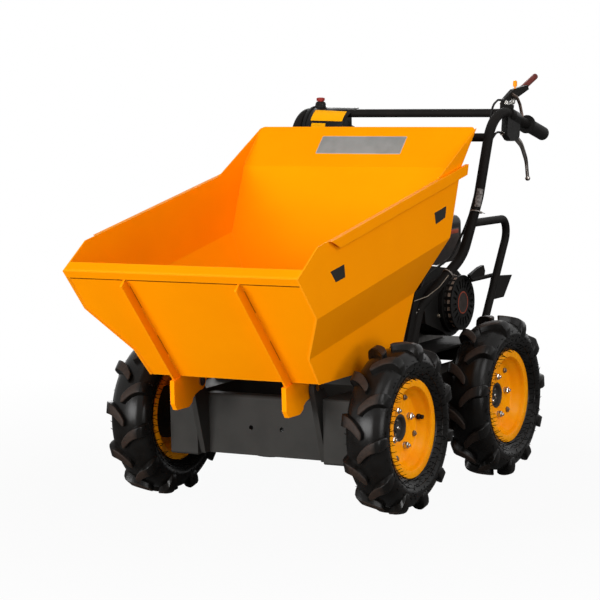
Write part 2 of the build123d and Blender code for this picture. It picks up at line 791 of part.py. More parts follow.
# crossbars between the handle tubes, cut to meet them
with BuildPart() as crossbars:
    for bar_y, bar_z, bar_half, bar_radius in (
        (upper_bar_y, upper_bar_z, grip_x - 4, upper_bar_radius),
        (lower_bar_y, lower_bar_z, grip_x - 10, lower_bar_radius),
    ):
        with BuildSketch(Plane.YZ.offset(-bar_half)):
            with Locations((bar_y, bar_z)):
                Circle(bar_radius)
        extrude(amount=2 * bar_half)
    add(handle_left.part, mode=Mode.SUBTRACT)
    add(handle_right.part, mode=Mode.SUBTRACT)
crossbars.part.label = "crossbars"
export_step(crossbars.part, "parts/crossbars.step")

# rear guards: back from the handle tube, then down and forward to the side case
guard_route = [
    (269, 265, 649),
    (252, 540, 641),
    (232, 336, case_top - 20),
]
guard_bend = 42.0
tube_run = Vector(*handle_route[3]) - Vector(*handle_route[2])
with BuildPart() as guard_left:
    with BuildLine() as guard_line:
        FilletPolyline(*guard_route, radius=guard_bend)
    with BuildSketch(Plane(guard_line.line @ 0, z_dir=guard_line.line % 0)):
        Circle(guard_radius)
    sweep()
    # the ends are cut to the handle tube's straight run and to the top of the side case
    with BuildSketch(Plane(handle_route[2], z_dir=tube_run)):
        Circle(tube_radius)
    extrude(amount=tube_run.length, mode=Mode.SUBTRACT)
    with BuildSketch(Plane.XY.offset(case_top)):
        with Locations(guard_route[2][:2]):
            Circle(6 * guard_radius)
    extrude(amount=-4 * guard_radius, mode=Mode.SUBTRACT)
guard_left.part.label = "guard_left"
export_step(guard_left.part, "parts/guard_left.step")

with BuildPart() as guard_right:
    add(mirror(guard_left.part, about=Plane.YZ))
guard_right.part.label = "guard_right"
export_step(guard_right.part, "parts/guard_right.step")

grip_line_end = handle_line.line @ 1
grip_line_way = handle_line.line % 1
with BuildPart() as grips:
    with BuildSketch(Plane(grip_line_end + grip_line_way * grip_end, z_dir=-grip_line_way)):
        Circle(grip_radius)
    extrude(amount=grip_length + grip_end)
    with BuildSketch(Plane(grip_line_end - grip_line_way * (grip_length - 6), z_dir=-grip_line_way)):
        Circle(grip_radius + 6)
    extrude(amount=6)
    mirror(about=Plane.YZ)
    add(handle_left.part, mode=Mode.SUBTRACT)
    add(handle_right.part, mode=Mode.SUBTRACT)
grips.part.label = "grips"
export_step(grips.part, "parts/grips.step")

# ---------------------------------------------------------------- rest of the engine
with BuildPart() as carburettor:
    with BuildSketch(Plane.XY.offset(512)):
        with Locations((86, 172)):
            RectangleRounded(19.4, 46, 4)
    extrude(amount=50)
    with BuildSketch(Plane.XY.offset(562)):
        with Locations((86, 172)):
            Circle(9.5)
    extrude(amount=30)
carburettor.part.label = "carburettor"
export_step(carburettor.part, "parts/carburettor.step")

filter_bottom = 592.0
with BuildPart() as air_filter:
    with BuildSketch(Plane.XY.offset(filter_bottom)):
        with Locations((80, 188)):
            RectangleRounded(100, 124, 20)
    extrude(amount=76)
    fillet(air_filter.faces().sort_by(Axis.Z)[-1].edges(), 14)
air_filter.part.label = "air_filter"
export_step(air_filter.part, "parts/air_filter.step")

muffler_height = 66.0
muffler_slots = 5
with BuildPart() as muffler:
    with BuildSketch(Plane.XY.offset(filter_bottom)):
        with Locations((-80, 178)):
            RectangleRounded(104, 128, 22)
    extrude(amount=muffler_height)
    # the guard's slots
    with BuildSketch(Plane.XY.offset(filter_bottom + muffler_height)):
        with Locations((-80, 178)):
            with GridLocations(0, 18, 1, muffler_slots):
                Rectangle(70, 7)
    extrude(amount=-4, mode=Mode.SUBTRACT)
    with BuildSketch(Plane.XY.offset(filter_bottom)):
        with Locations((-46, 178)):
            Circle(13)
    extrude(amount=-70)
    add(cylinder.part, mode=Mode.SUBTRACT)
muffler.part.label = "muffler"
export_step(muffler.part, "parts/muffler.step")

# the belt runs from the crank down to the gearbox inside one guard
with BuildPart() as belt_guard:
    with BuildSketch(Plane.YZ.offset(belt_x_low)):
        with Locations((crank_y, crank_z)):
            Circle(42)
        with Locations((input_y, input_z)):
            Circle(50)
        make_hull()
    extrude(amount=belt_x_high - belt_x_low)
belt_guard.part.label = "belt_guard"
export_step(belt_guard.part, "parts/belt_guard.step")

# ---------------------------------------------------------------- controls
bar_run = Vector(*handle_route[5]) - Vector(*handle_route[4])
bar_way = bar_run.normalized()


def on_grip_bar(distance):
    """A plane square to the left tube's last run, this far behind its last bend."""
    return Plane(Vector(*handle_route[4]) + bar_way * distance, x_dir=(1, 0, 0), z_dir=bar_way)


housing_wide = 18.0
collar = 4.0                 # how far a clamp stands out round the tube
housing_line = [
    # (y, z) round the housing that hangs under the grip bar
    (432, 914), (424, 868), (444, 853), (460, 849), (492, 849), (502, 862), (506, 886), (500, 908),
]
with BuildPart() as lever_housings:
    with BuildSketch(on_grip_bar(112)):
        Circle(tube_radius + collar)
    extrude(amount=34)
    with BuildSketch(Plane.YZ.offset(grip_x - housing_wide / 2)):
        with BuildLine():
            Polyline(*housing_line, close=True)
        make_face()
    extrude(amount=housing_wide)
    # clear of the tube that carries them
    add(handle_left.part, mode=Mode.SUBTRACT)
    mirror(about=Plane.YZ)
lever_housings.part.label = "lever_housings"
export_step(lever_housings.part, "parts/lever_housings.step")

lever_route = [(grip_x, 486, 862), (grip_x, 532, 836), (grip_x, 561, 794), (grip_x, 569, 745)]
lever_radius = 5.0
with BuildPart() as steering_levers:
    with BuildLine() as lever_line:
        FilletPolyline(*lever_route, radius=45)
    with BuildSketch(Plane(lever_line.line @ 0, z_dir=lever_line.line % 0)):
        Circle(lever_radius)
    sweep()
    with Locations(lever_route[3]):
        Sphere(lever_radius + 1.5)
    mirror(about=Plane.YZ)
    add(lever_housings.part, mode=Mode.SUBTRACT)
steering_levers.part.label = "steering_levers"
export_step(steering_levers.part, "parts/steering_levers.step")

clutch_x = 262.0
clutch_thick = 10.0
clutch_grip_radius = 8.0
clutch_knee = Vector(clutch_x - 2, 610, 983)
clutch_tip = Vector(clutch_x - 12, 713.8, 1011)
clutch_line = [
    # (y, z) round the plate that carries the clutch lever
    (458, 930), (482, 924), (500, 952), (560, 962), (624, 979), (618, 991), (526, 982), (470, 958),
]
with BuildPart() as clutch_lever:
    with BuildSketch(on_grip_bar(92)):
        Circle(tube_radius + collar)
    extrude(amount=20)
    with BuildSketch(Plane.YZ.offset(clutch_x)):
        with BuildLine():
            Polyline(*clutch_line, close=True)
        make_face()
    extrude(amount=clutch_thick)
    # an arm from the clamp to the plate
    with BuildSketch(Plane.YZ.offset(clutch_x)):
        with BuildLine():
            Polyline((462, 944), (458, 926), (480, 918), (490, 942), close=True)
        make_face()
    extrude(amount=grip_x - clutch_x)
    add(handle_left.part, mode=Mode.SUBTRACT)
    add(lever_housings.part, mode=Mode.SUBTRACT)
clutch_lever.part.label = "clutch_lever"
export_step(clutch_lever.part, "parts/clutch_lever.step")

clutch_run = clutch_tip - clutch_knee
with BuildPart() as clutch_grip:
    with BuildSketch(Plane(clutch_knee, z_dir=clutch_run)):
        Circle(clutch_grip_radius)
    extrude(amount=clutch_run.length)
    add(clutch_lever.part, mode=Mode.SUBTRACT)
clutch_grip.part.label = "clutch_grip"
export_step(clutch_grip.part, "parts/clutch_grip.step")

throttle_foot = (clutch_x + clutch_thick / 2, 545, 983)
with BuildPart() as throttle:
    with BuildSketch(Plane(throttle_foot, z_dir=(0, 0.1, 1))):
        Circle(2.2)
    extrude(amount=7)
    with BuildSketch(Plane(throttle_foot, z_dir=(0, 0.1, 1)).offset(6)):
        Circle(5.5)
    extrude(amount=16)
    fillet(throttle.edges().filter_by(GeomType.CIRCLE).sort_by(Axis.Z)[-1], 4)
    add(clutch_lever.part, mode=Mode.SUBTRACT)
throttle.part.label = "throttle"
export_step(throttle.part, "parts/throttle.step")

console_y = 430.0
console_z = 856.0
console_radius = 92.0
console_wall = 3.0
console_low_x = -272.0
console_high_x = -140.0
with BuildPart() as console:
    with BuildSketch(Plane.YZ.offset(console_low_x)):
        with Locations((console_y, console_z)):
            Circle(console_radius)
        with Locations((console_y + 60, console_z)):
            Rectangle(120, 240, mode=Mode.SUBTRACT)
        with Locations((console_y, console_z - 100)):
            Rectangle(240, 160, mode=Mode.SUBTRACT)
    extrude(amount=console_high_x - console_low_x)
    with BuildSketch(Plane.YZ.offset(console_low_x + console_wall)):
        with Locations((console_y, console_z)):
            Circle(console_radius - console_wall)
    extrude(amount=console_high_x - console_low_x - 2 * console_wall, mode=Mode.SUBTRACT)
    add(crossbars.part, mode=Mode.SUBTRACT)
console.part.label = "console"
export_step(console.part, "parts/console.step")

with BuildPart() as console_knob:
    with BuildSketch(Plane.XY.offset(console_z + console_radius)):
        with Locations((-262, console_y - 4)):
            Circle(8)
    extrude(amount=16)
    add(console.part, mode=Mode.SUBTRACT)
console_knob.part.label = "console_knob"
export_step(console_knob.part, "parts/console_knob.step")

# the steering cables run down inside the tubes to the side cases
cable_radius = 3.0
cable_route = [
    (286, 426, 871),
    (286, 388, 878),
    (285, 354, 856),
    (284, 333, 800),
    (266, 304, 716),
    (246, 276, 638),
    (228, 230, 564),
    (190, 150, 520),
    (186, 100, 444),
    (186, 84, 370),
    (186, 84, case_top),
]
with BuildPart() as cables:
    with BuildLine() as cable_line:
        FilletPolyline(*cable_route, radius=[40, 40, 90, 100, 100, 70, 60, 70, 60])
    with BuildSketch(Plane(cable_line.line @ 0, z_dir=cable_line.line % 0)):
        Circle(cable_radius)
    sweep()
    mirror(about=Plane.YZ)
    add(lever_housings.part, mode=Mode.SUBTRACT)
cables.part.label = "cables"
export_step(cables.part, "parts/cables.step")

# the shift rod behind the engine, on a plate welded to the left guard
guard_leg_top = Vector(*guard_route[1])
guard_leg_foot = Vector(*guard_route[2])
shift_rod_x = 224.0
shift_plate_x = 231.0
shift_rod_z = 492.0
with BuildPart() as shift_linkage:
    with BuildSketch(Plane.YZ.offset(shift_plate_x)):
        with BuildLine():
            Polyline((459, 493), (578, 484), (524, 430), (428, 430), close=True)
        make_face()
    extrude(amount=6)
    with BuildSketch(Plane.XZ.offset(-350)):
        with Locations((shift_rod_x, shift_rod_z)):
            Circle(5.5)
    extrude(amount=-150)
    # a pin from the rod to the plate
    with BuildSketch(Plane.YZ.offset(shift_rod_x)):
        with Locations((487, shift_rod_z - 5)):
            Circle(4.5)
    extrude(amount=shift_plate_x - shift_rod_x)
    # the pedal at the rod's front end
    with BuildSketch(Plane.YZ.offset(shift_rod_x - 8)):
        with BuildLine():
            Polyline((345, 506), (350, 496), (428, 489), (436, 508), (428, 524), (402, 521), close=True)
        make_face()
    extrude(amount=9)
    with BuildSketch(Plane(guard_leg_foot, z_dir=guard_leg_top - guard_leg_foot)):
        Circle(guard_radius)
    extrude(amount=(guard_leg_top - guard_leg_foot).length, mode=Mode.SUBTRACT)
shift_linkage.part.label = "shift_linkage"
export_step(shift_linkage.part, "parts/shift_linkage.step")
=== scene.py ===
import json
import math
import random

import bmesh
import bpy
from mathutils import Matrix, Vector

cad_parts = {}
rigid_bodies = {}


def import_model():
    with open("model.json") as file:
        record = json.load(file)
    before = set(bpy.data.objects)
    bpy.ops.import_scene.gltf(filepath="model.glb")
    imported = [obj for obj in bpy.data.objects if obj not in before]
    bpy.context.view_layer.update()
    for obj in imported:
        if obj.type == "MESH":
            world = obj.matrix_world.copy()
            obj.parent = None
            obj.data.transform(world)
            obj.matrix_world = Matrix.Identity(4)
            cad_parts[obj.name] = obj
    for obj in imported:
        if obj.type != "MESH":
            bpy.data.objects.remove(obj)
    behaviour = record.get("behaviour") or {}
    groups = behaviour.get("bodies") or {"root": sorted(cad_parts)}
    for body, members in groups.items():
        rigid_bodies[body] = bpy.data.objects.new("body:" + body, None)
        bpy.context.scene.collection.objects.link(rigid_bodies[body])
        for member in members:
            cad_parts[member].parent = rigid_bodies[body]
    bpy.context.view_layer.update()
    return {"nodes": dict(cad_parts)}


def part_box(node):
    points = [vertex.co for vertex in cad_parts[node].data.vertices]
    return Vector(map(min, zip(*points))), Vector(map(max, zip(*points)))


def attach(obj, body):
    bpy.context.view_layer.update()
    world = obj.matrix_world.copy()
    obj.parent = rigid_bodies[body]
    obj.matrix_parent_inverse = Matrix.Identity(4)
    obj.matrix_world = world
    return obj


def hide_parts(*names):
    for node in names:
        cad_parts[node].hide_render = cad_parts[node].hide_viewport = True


# Looks of a walk-behind site dumper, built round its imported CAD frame. Metres; +Z up, -Y is the
# way it drives, +X its left side.

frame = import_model()
scene = bpy.context.scene


# ---------------------------------------------------------------- outlines
def rounded(outline, radius, steps=5):
    """A closed outline with its corners rounded."""
    points = []
    count = len(outline)
    for i in range(count):
        before, corner, after = (Vector(outline[j % count]) for j in (i - 1, i, i + 1))
        points += arc_at(before, corner, after, radius, steps)
    return [tuple(point) for point in points]


def arc_at(before, corner, after, radius, steps):
    """The points of an arc that rounds one corner of a route."""
    back = (before - corner)
    ahead = (after - corner)
    half = back.angle(ahead) / 2
    if half > math.radians(89.5):
        return [corner]
    reach = min(radius / math.tan(half), 0.49 * back.length, 0.49 * ahead.length)
    radius = reach * math.tan(half)
    back.normalize()
    ahead.normalize()
    centre = corner + (back + ahead).normalized() * radius / math.sin(half)
    start = corner + back * reach - centre
    end = corner + ahead * reach - centre
    points = []
    for i in range(steps + 1):
        share = i / steps
        sweep = math.pi - 2 * half
        first = math.sin((1 - share) * sweep) / math.sin(sweep)
        last = math.sin(share * sweep) / math.sin(sweep)
        points.append(centre + start * first + end * last)
    return points


def bent(route, radius, steps=8):
    """An open route whose corners are rounded; radius is one number or one for each corner."""
    points = [Vector(point) for point in route]
    radii = radius if isinstance(radius, (list, tuple)) else [radius] * (len(points) - 2)
    path = [points[0]]
    for i in range(1, len(points) - 1):
        path += arc_at(points[i - 1], points[i], points[i + 1], radii[i - 1], steps)
    return path + [points[-1]]


def between(start, end, share):
    """A point on a straight run."""
    return start + (end - start) * share


# ---------------------------------------------------------------- solids in a bmesh
def side(u, v, w):
    """Drawn in the side view, thick along X."""
    return Vector((w, u, v))


def plan(u, v, w):
    """Drawn in the top view, thick along Z."""
    return Vector((u, v, w))


def ring_of(bm, centre, first, second, steps, start=0.0):
    """A ring of new points about a centre; first and second reach from it to the ring."""
    turns = [start + 2 * math.pi * i / steps for i in range(steps)]
    return [bm.verts.new(centre + first * math.cos(t) + second * math.sin(t)) for t in turns]


def join_rings(bm, rings, capped=True):
    """Faces from each ring of points to the next, and over both ends."""
    faces = [bm.faces.new(rings[0][::-1]), bm.faces.new(rings[-1])] if capped else []
    for low, high in zip(rings, rings[1:]):
        for k in range(len(low)):
            j = (k + 1) % len(low)
            faces.append(bm.faces.new((low[k], low[j], high[j], high[k])))
    bmesh.ops.recalc_face_normals(bm, faces=faces)
    return faces


def turning(bm, low, high=360.0):
    """The edges whose two faces turn by more than low and less than high degrees."""
    return [e for e in bm.edges if math.radians(low) < e.calc_face_angle(0) < math.radians(high)]


def soften(bm, edges, offset, segments=2):
    """Round some of a mesh's edges."""
    bmesh.ops.bevel(bm, geom=edges, offset=offset, segments=segments, profile=0.5, affect="EDGES",
                    clamp_overlap=True)


def run_at(path, i):
    """A path's direction at one of its points."""
    return (path[min(i + 1, len(path) - 1)] - path[max(i - 1, 0)]).normalized()


def add_prism(bm, outline, low, high, place=side, bevel=0.0):
    """An outline given a thickness, with rounded edges."""
    ends = join_rings(bm, [[bm.verts.new(place(u, v, w)) for u, v in outline] for w in (low, high)])
    if bevel:
        soften(bm, [*ends[0].edges, *ends[1].edges], bevel)


def add_pair(bm, outline, inner, outer, bevel=0.0):
    """A flat piece drawn in the side view, on both sides of the machine."""
    for way in (-1, 1):
        low, high = sorted((way * inner, way * outer))
        add_prism(bm, outline, low, high, side, bevel)


def axis_frame(axis):
    """Two directions square to an axis, and the axis itself."""
    along = Vector(axis).normalized()
    helper = Vector((0, 0, 1)) if abs(along.z) < 0.9 else Vector((0, 1, 0))
    first = helper.cross(along).normalized()
    return first, along.cross(first), along


def add_revolved(bm, profile, centre=(0, 0, 0), axis=(1, 0, 0), steps=48, closed=True):
    """A profile of (along, radius) points turned about an axis; closed joins its ends."""
    first, second, along = axis_frame(axis)
    rings = []
    for distance, radius in profile:
        spot = Vector(centre) + along * distance
        if radius < 1e-7:
            rings.append([bm.verts.new(spot)] * steps)
        else:
            rings.append(ring_of(bm, spot, first * radius, second * radius, steps))
    pairs = list(zip(rings, rings[1:]))
    if closed:
        pairs.append((rings[-1], rings[0]))
    faces = []
    for low, high in pairs:
        for i in range(steps):
            j = (i + 1) % steps
            corners = list(dict.fromkeys((low[i], low[j], high[j], high[i])))
            if len(corners) > 2:
                faces.append(bm.faces.new(corners))
    bmesh.ops.recalc_face_normals(bm, faces=faces)


def add_rod(bm, start, end, radius, steps=16, chamfer=0.0005):
    """A round rod between two points, with softened ends."""
    run = Vector(end) - Vector(start)
    far = run.length
    rim = radius - chamfer
    profile = [(0, 0), (0, rim), (chamfer, radius), (far - chamfer, radius), (far, rim), (far, 0)]
    add_revolved(bm, profile, start, run, steps, closed=False)


def add_tube(bm, path, radius, steps=14):
    """A round bar along a path, its ends closed; radius is one number or one for each point."""
    path = [Vector(point) for point in path]
    radii = radius if isinstance(radius, (list, tuple)) else [radius] * len(path)
    rings = []
    normal = axis_frame(run_at(path, 0))[0]
    for i, point in enumerate(path):
        run = run_at(path, i)
        normal = (normal - run * normal.dot(run)).normalized()
        rings.append(ring_of(bm, point, normal * radii[i], run.cross(normal) * radii[i], steps))
    join_rings(bm, rings)


def add_hexagon(bm, centre, axis, radius, height, chamfer=0.0008, turn=0.0):
    """A nut or bolt head standing on centre, its corners chamfered."""
    first, second, along = axis_frame(axis)
    sizes = ((0, radius), (height - chamfer, radius), (height, radius - 1.2 * chamfer))
    join_rings(bm, [ring_of(bm, Vector(centre) + along * distance, first * size, second * size, 6, turn)
                    for distance, size in sizes])


def add_bolt(bm, centre, axis, size=0.005, turn=0.0):
    """A washer and a hexagon head; size is the thread's radius."""
    thick = size * 0.36
    washer = [(0, 0), (0, size * 2.1), (size * 0.3, size * 2.1), (thick, size * 2.0), (thick, 0)]
    add_revolved(bm, washer, centre, axis, 20, False)
    foot = Vector(centre) + Vector(axis).normalized() * thick
    add_hexagon(bm, foot, axis, size * 1.8, size * 1.2, size * 0.18, turn)


def piece(name, bm, finish, body, stands_for=(), smooth=35.0, place=None):
    """A named object from a bmesh; it rides on a body and may stand for CAD nodes."""
    mesh = bpy.data.meshes.new(name)
    bm.normal_update()
    bm.to_mesh(mesh)
    bm.free()
    mesh.materials.append(finish)
    for polygon in mesh.polygons:
        polygon.use_smooth = True
    mesh.set_sharp_from_angle(angle=math.radians(smooth))
    made = bpy.data.objects.new(name, mesh)
    scene.collection.objects.link(made)
    if place:
        made.location = place
    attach(made, body)
    if stands_for:
        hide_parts(*stands_for)
    return made


def node_body(node):
    """The body that a CAD node rides on."""
    return frame["nodes"][node].parent.name.replace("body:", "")


def refined(node, finish, edge, fold=None):
    """A CAD node's own shape with rounded edges, standing for the node. fold rounds the edges where
    a sheet is bent, which turn by less than 70 degrees."""
    bm = bmesh.new()
    bm.from_mesh(frame["nodes"][node].data)
    bmesh.ops.remove_doubles(bm, verts=bm.verts, dist=2e-6)
    bmesh.ops.dissolve_limit(bm, angle_limit=math.radians(0.4), verts=bm.verts, edges=bm.edges)
    if fold:
        soften(bm, turning(bm, 8, 70), fold, 4)
    soften(bm, turning(bm, 30), edge)
    made = piece(f"{node}.shaped", bm, finish, node_body(node), [node])
    made.modifiers.new("even", "WEIGHTED_NORMAL").keep_sharp = True


# ---------------------------------------------------------------- materials
def fill(tree, node, values):
    """Set a node's sockets, or link them where a value is another node's output."""
    for socket, value in values.items():
        if isinstance(value, bpy.types.NodeSocket):
            tree.links.new(value, node.inputs[socket])
        else:
            node.inputs[socket].default_value = value


def add_node(tree, kind, values=None, **settings):
    """A shader node with its settings and sockets."""
    node = tree.nodes.new("ShaderNode" + kind)
    for name, value in settings.items():
        setattr(node, name, value)
    fill(tree, node, values or {})
    return node


def add_noise(tree, place, scale, detail):
    """Noise over a surface, from 0 to 1."""
    return add_node(tree, "TexNoise", {"Vector": place, "Scale": scale, "Detail": detail}).outputs["Fac"]


def add_range(tree, value, from_low, from_high, to_low=0.0, to_high=1.0):
    """A value stretched from one range to another."""
    sockets = {"Value": value, "From Min": from_low, "From Max": from_high, "To Min": to_low, "To Max": to_high}
    return add_node(tree, "MapRange", sockets).outputs["Result"]


def add_blend(tree, share, first, second, kind="RGBA"):
    """A mix of two colours or numbers."""
    return add_node(tree, "Mix", {"Factor": share, "A": first, "B": second}, data_type=kind).outputs["Result"]


def add_maths(tree, operation, first, second):
    """A number worked out from two others."""
    return add_node(tree, "Math", {0: first, 1: second}, operation=operation).outputs["Value"]


def add_length(tree, vector):
    """A vector's length."""
    return add_node(tree, "VectorMath", {0: vector}, operation="LENGTH").outputs["Value"]


def surface(name, colour, rough, metal, specular, second, patch=9.0, grain=0.0, grain_scale=900.0,
            rough_spread=0.08, wear=None):
    """A finish: colour drifting towards a second one in soft patches, uneven gloss and a fine grain."""
    material = bpy.data.materials.new(name)
    material.use_nodes = True
    tree = material.node_tree
    place = add_node(tree, "TexCoord").outputs["Object"]
    spread = add_range(tree, add_noise(tree, place, patch, 5.0), 0.38, 0.68)
    base = add_blend(tree, spread, (*colour, 1.0), (*second, 1.0))
    if wear:
        base = paler_edges(tree, base, wear)
    uneven = add_noise(tree, place, patch * 5.0, 3.0)
    gloss = add_range(tree, uneven, 0.0, 1.0, max(rough - rough_spread, 0.02), min(rough + rough_spread, 1.0))
    sockets = {"Metallic": metal, "Specular IOR Level": specular, "Base Color": base, "Roughness": gloss}
    if grain:
        fine = add_noise(tree, place, grain_scale, 3.0)
        bump = add_node(tree, "Bump", {"Distance": grain, "Strength": 0.6, "Height": fine})
        sockets["Normal"] = bump.outputs["Normal"]
    fill(tree, tree.nodes["Principled BSDF"], sockets)
    return material


def paler_edges(tree, base, wear):
    """A paler colour along the edges of a painted sheet, where the rounded normal parts from the flat one."""
    round_off = add_node(tree, "Bevel", {"Radius": 0.0025}, samples=4).outputs["Normal"]
    flat = add_node(tree, "NewGeometry").outputs["Normal"]
    match = add_node(tree, "VectorMath", {0: round_off, 1: flat}, operation="DOT_PRODUCT").outputs["Value"]
    return add_blend(tree, add_range(tree, match, 0.99, 0.80, 0.0, 0.55), base, (*wear, 1.0))


def tyre_rubber(tread_radius):
    """Black rubber, dusty brown on the lugs' tops; distances are from the wheel's own centre."""
    material = surface("tyre_rubber", (0.0078, 0.0074, 0.0070), 0.23, 0.0, 0.135, (0.0052, 0.0044, 0.0038),
                       30.0, 0.00025, 420.0)
    tree = material.node_tree
    shader = tree.nodes["Principled BSDF"]
    base, gloss = (shader.inputs[name].links[0].from_socket for name in ("Base Color", "Roughness"))
    place = add_node(tree, "TexCoord").outputs["Object"]
    split = add_node(tree, "SeparateXYZ", {"Vector": place}).outputs
    flat = add_node(tree, "CombineXYZ", {"Y": split["Y"], "Z": split["Z"]}).outputs["Vector"]
    top = add_range(tree, add_length(tree, flat), tread_radius - 0.0045, tread_radius - 0.0015, 0.0, 0.85)
    dusty = add_maths(tree, "MULTIPLY", top, add_noise(tree, place, 160.0, 4.0))
    fill(tree, shader, {"Base Color": add_blend(tree, dusty, base, (0.050, 0.031, 0.0225, 1.0)),
                        "Roughness": add_blend(tree, top, gloss, 0.62, "FLOAT")})
    return material


# name, colour, roughness, metal, specular, second colour, scale of the patches, grain and its scale
orange = surface("orange_powder_coat", (0.99, 0.308, 0.0003), 0.54, 0.0, 0.012, (0.96, 0.290, 0.0002), 5.0,
    0.00035, 420.0, wear=(1.0, 0.44, 0.03))
rim_orange = surface("rim_orange", (1.0, 0.37, 0.0006), 0.27, 0.0, 0.10, (0.97, 0.31, 0.0005), 14.0, 0.00008,
    600.0)
# dark brown for the gaps between the ribs' stitch welds, and for the painted shadow under the lip
gap_brown = surface("gap_brown", (0.270, 0.072, 0.0015), 0.8, 0.0, 0.02, (0.150, 0.038, 0.001), 40.0)
plate_black = surface("plate_black", (0.034, 0.0325, 0.030), 0.55, 0.0, 0.10, (0.027, 0.026, 0.024), 12.0,
    0.0002, 420.0)
gloss_black = surface("gloss_black", (0.0085, 0.0078, 0.0072), 0.60, 0.0, 0.05, (0.0110, 0.0095, 0.0085), 18.0,
    rough_spread=0.06)
deck_grey = surface("deck_grey", (0.013, 0.0125, 0.012), 0.70, 0.0, 0.04, (0.010, 0.0095, 0.009), 16.0, 0.0002)
plastic_black = surface("plastic_black", (0.0075, 0.0070, 0.0066), 0.36, 0.0, 0.12, (0.0105, 0.0098, 0.009),
    25.0, 0.00015, 1200.0)
console_black = surface("console_black", (0.0060, 0.0056, 0.0052), 0.30, 0.0, 0.10, (0.0085, 0.008, 0.0075),
    25.0, 0.00010, 1200.0)
tank_black = surface("tank_black", (0.016, 0.0130, 0.0115), 0.36, 0.0, 0.14, (0.024, 0.0185, 0.016), 20.0,
    0.00012, 1200.0)
grip_rubber = surface("grip_rubber", (0.0085, 0.0080, 0.0076), 0.62, 0.0, 0.12, (0.0125, 0.0118, 0.011), 40.0,
    0.0003, 1500.0)
cast_metal = surface("cast_aluminium", (0.20, 0.19, 0.18), 0.50, 0.80, 0.5, (0.12, 0.112, 0.105), 35.0, 0.0005,
    900.0)
fan_metal = surface("fan_metal", (0.46, 0.36, 0.29), 0.46, 0.35, 0.5, (0.20, 0.135, 0.10), 90.0, 0.0003)
shade_grey = surface("shade_grey", (0.045, 0.042, 0.040), 0.5, 0.0, 0.2, (0.018, 0.016, 0.015), 90.0)
bright_metal = surface("bright_zinc", (0.60, 0.585, 0.56), 0.24, 1.0, 0.5, (0.42, 0.40, 0.37), 70.0, 0.00008)
lever_metal = surface("polished_lever", (0.34, 0.31, 0.285), 0.26, 1.0, 0.5, (0.17, 0.145, 0.125), 45.0, 0.0001)
dull_metal = surface("dull_steel", (0.24, 0.205, 0.165), 0.46, 1.0, 0.5, (0.17, 0.135, 0.10), 60.0, 0.0002)
worn_steel = surface("worn_steel", (0.15, 0.105, 0.085), 0.40, 0.9, 0.5, (0.045, 0.033, 0.028), 90.0, 0.0002)
red_plastic = surface("red_plastic", (0.30, 0.030, 0.022), 0.45, 0.0, 0.2, (0.22, 0.022, 0.017), 60.0, 0.0002)
dark_red = surface("dark_red_grip", (0.155, 0.024, 0.016), 0.58, 0.0, 0.10, (0.115, 0.018, 0.012), 60.0, 0.0002)
red_ring = surface("red_print", (0.33, 0.065, 0.035), 0.45, 0.0, 0.15, (0.25, 0.045, 0.025), 60.0)
dark_label = surface("dark_label", (0.030, 0.022, 0.0195), 0.4, 0.0, 0.15, (0.042, 0.033, 0.029), 60.0)
orange_plastic = surface("orange_plastic", (0.92, 0.30, 0.004), 0.4, 0.0, 0.12, (0.85, 0.27, 0.003), 60.0)
yellow_label = surface("yellow_label", (0.98, 0.42, 0.0015), 0.38, 0.0, 0.06, (0.93, 0.40, 0.0015), 30.0)
grey_label = surface("grey_label", (0.235, 0.235, 0.225), 0.42, 0.0, 0.25, (0.200, 0.200, 0.190), 25.0)
pale_label = surface("label_edge", (0.40, 0.37, 0.30), 0.45, 0.0, 0.2, (0.34, 0.31, 0.25), 25.0)
worn_label = surface("worn_label", (0.26, 0.245, 0.235), 0.45, 0.0, 0.15, (0.035, 0.026, 0.023), 150.0)
pale_tie = surface("pale_tie", (0.30, 0.28, 0.26), 0.5, 0.0, 0.25, (0.20, 0.185, 0.17), 80.0)
whisker_black = surface("whisker_black", (0.0012, 0.0011, 0.0010), 0.85, 0.0, 0.01, (0.0020, 0.0018, 0.0016))
bar_black = surface("bar_black", (0.016, 0.0145, 0.0115), 0.46, 0.0, 0.12, (0.013, 0.012, 0.010), 20.0)

# ---------------------------------------------------------------- wheels
tyre_low, tyre_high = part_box("tyre_front_left")
axle_front = (tyre_low.y + tyre_high.y) / 2
axle_height = (tyre_low.z + tyre_high.z) / 2
wheel_x = (tyre_low.x + tyre_high.x) / 2
tyre_radius = (tyre_high.z - tyre_low.z) / 2
carcass_radius = tyre_radius - 0.0145
lug_count = 11
lug_rise = math.radians(9.5)

wheels = [
    # name, side (+1 left), axle's Y, then in degrees: the lugs' turn, the studs' turn, the valve's turn
    ("front_left", 1, axle_front, 19.5, 64.0, 170.0),
    ("front_right", -1, axle_front, 0.5, 20.0, 200.0),
    ("rear_left", 1, -axle_front, 2.0, 82.5, 7.0),
    ("rear_right", -1, -axle_front, 9.0, 41.0, 120.0),
]

# the tyre's section without lugs, from the middle to the bead, as (x from the middle, radius)
half_section = [
    (0.0, carcass_radius), (0.015, carcass_radius - 0.0006), (0.029, carcass_radius - 0.0030),
    (0.0400, carcass_radius - 0.0085), (0.0478, 0.1745), (0.0518, 0.1640), (0.0528, 0.1560), (0.0515, 0.1480),
    (0.0480, 0.1395), (0.0435, 0.1305), (0.0405, 0.1245), (0.0390, 0.1212), (0.0368, 0.1196),
]
inside_section = [(0.0345, 0.1186), (0.0345, 0.1135), (0.0345, 0.1022)]

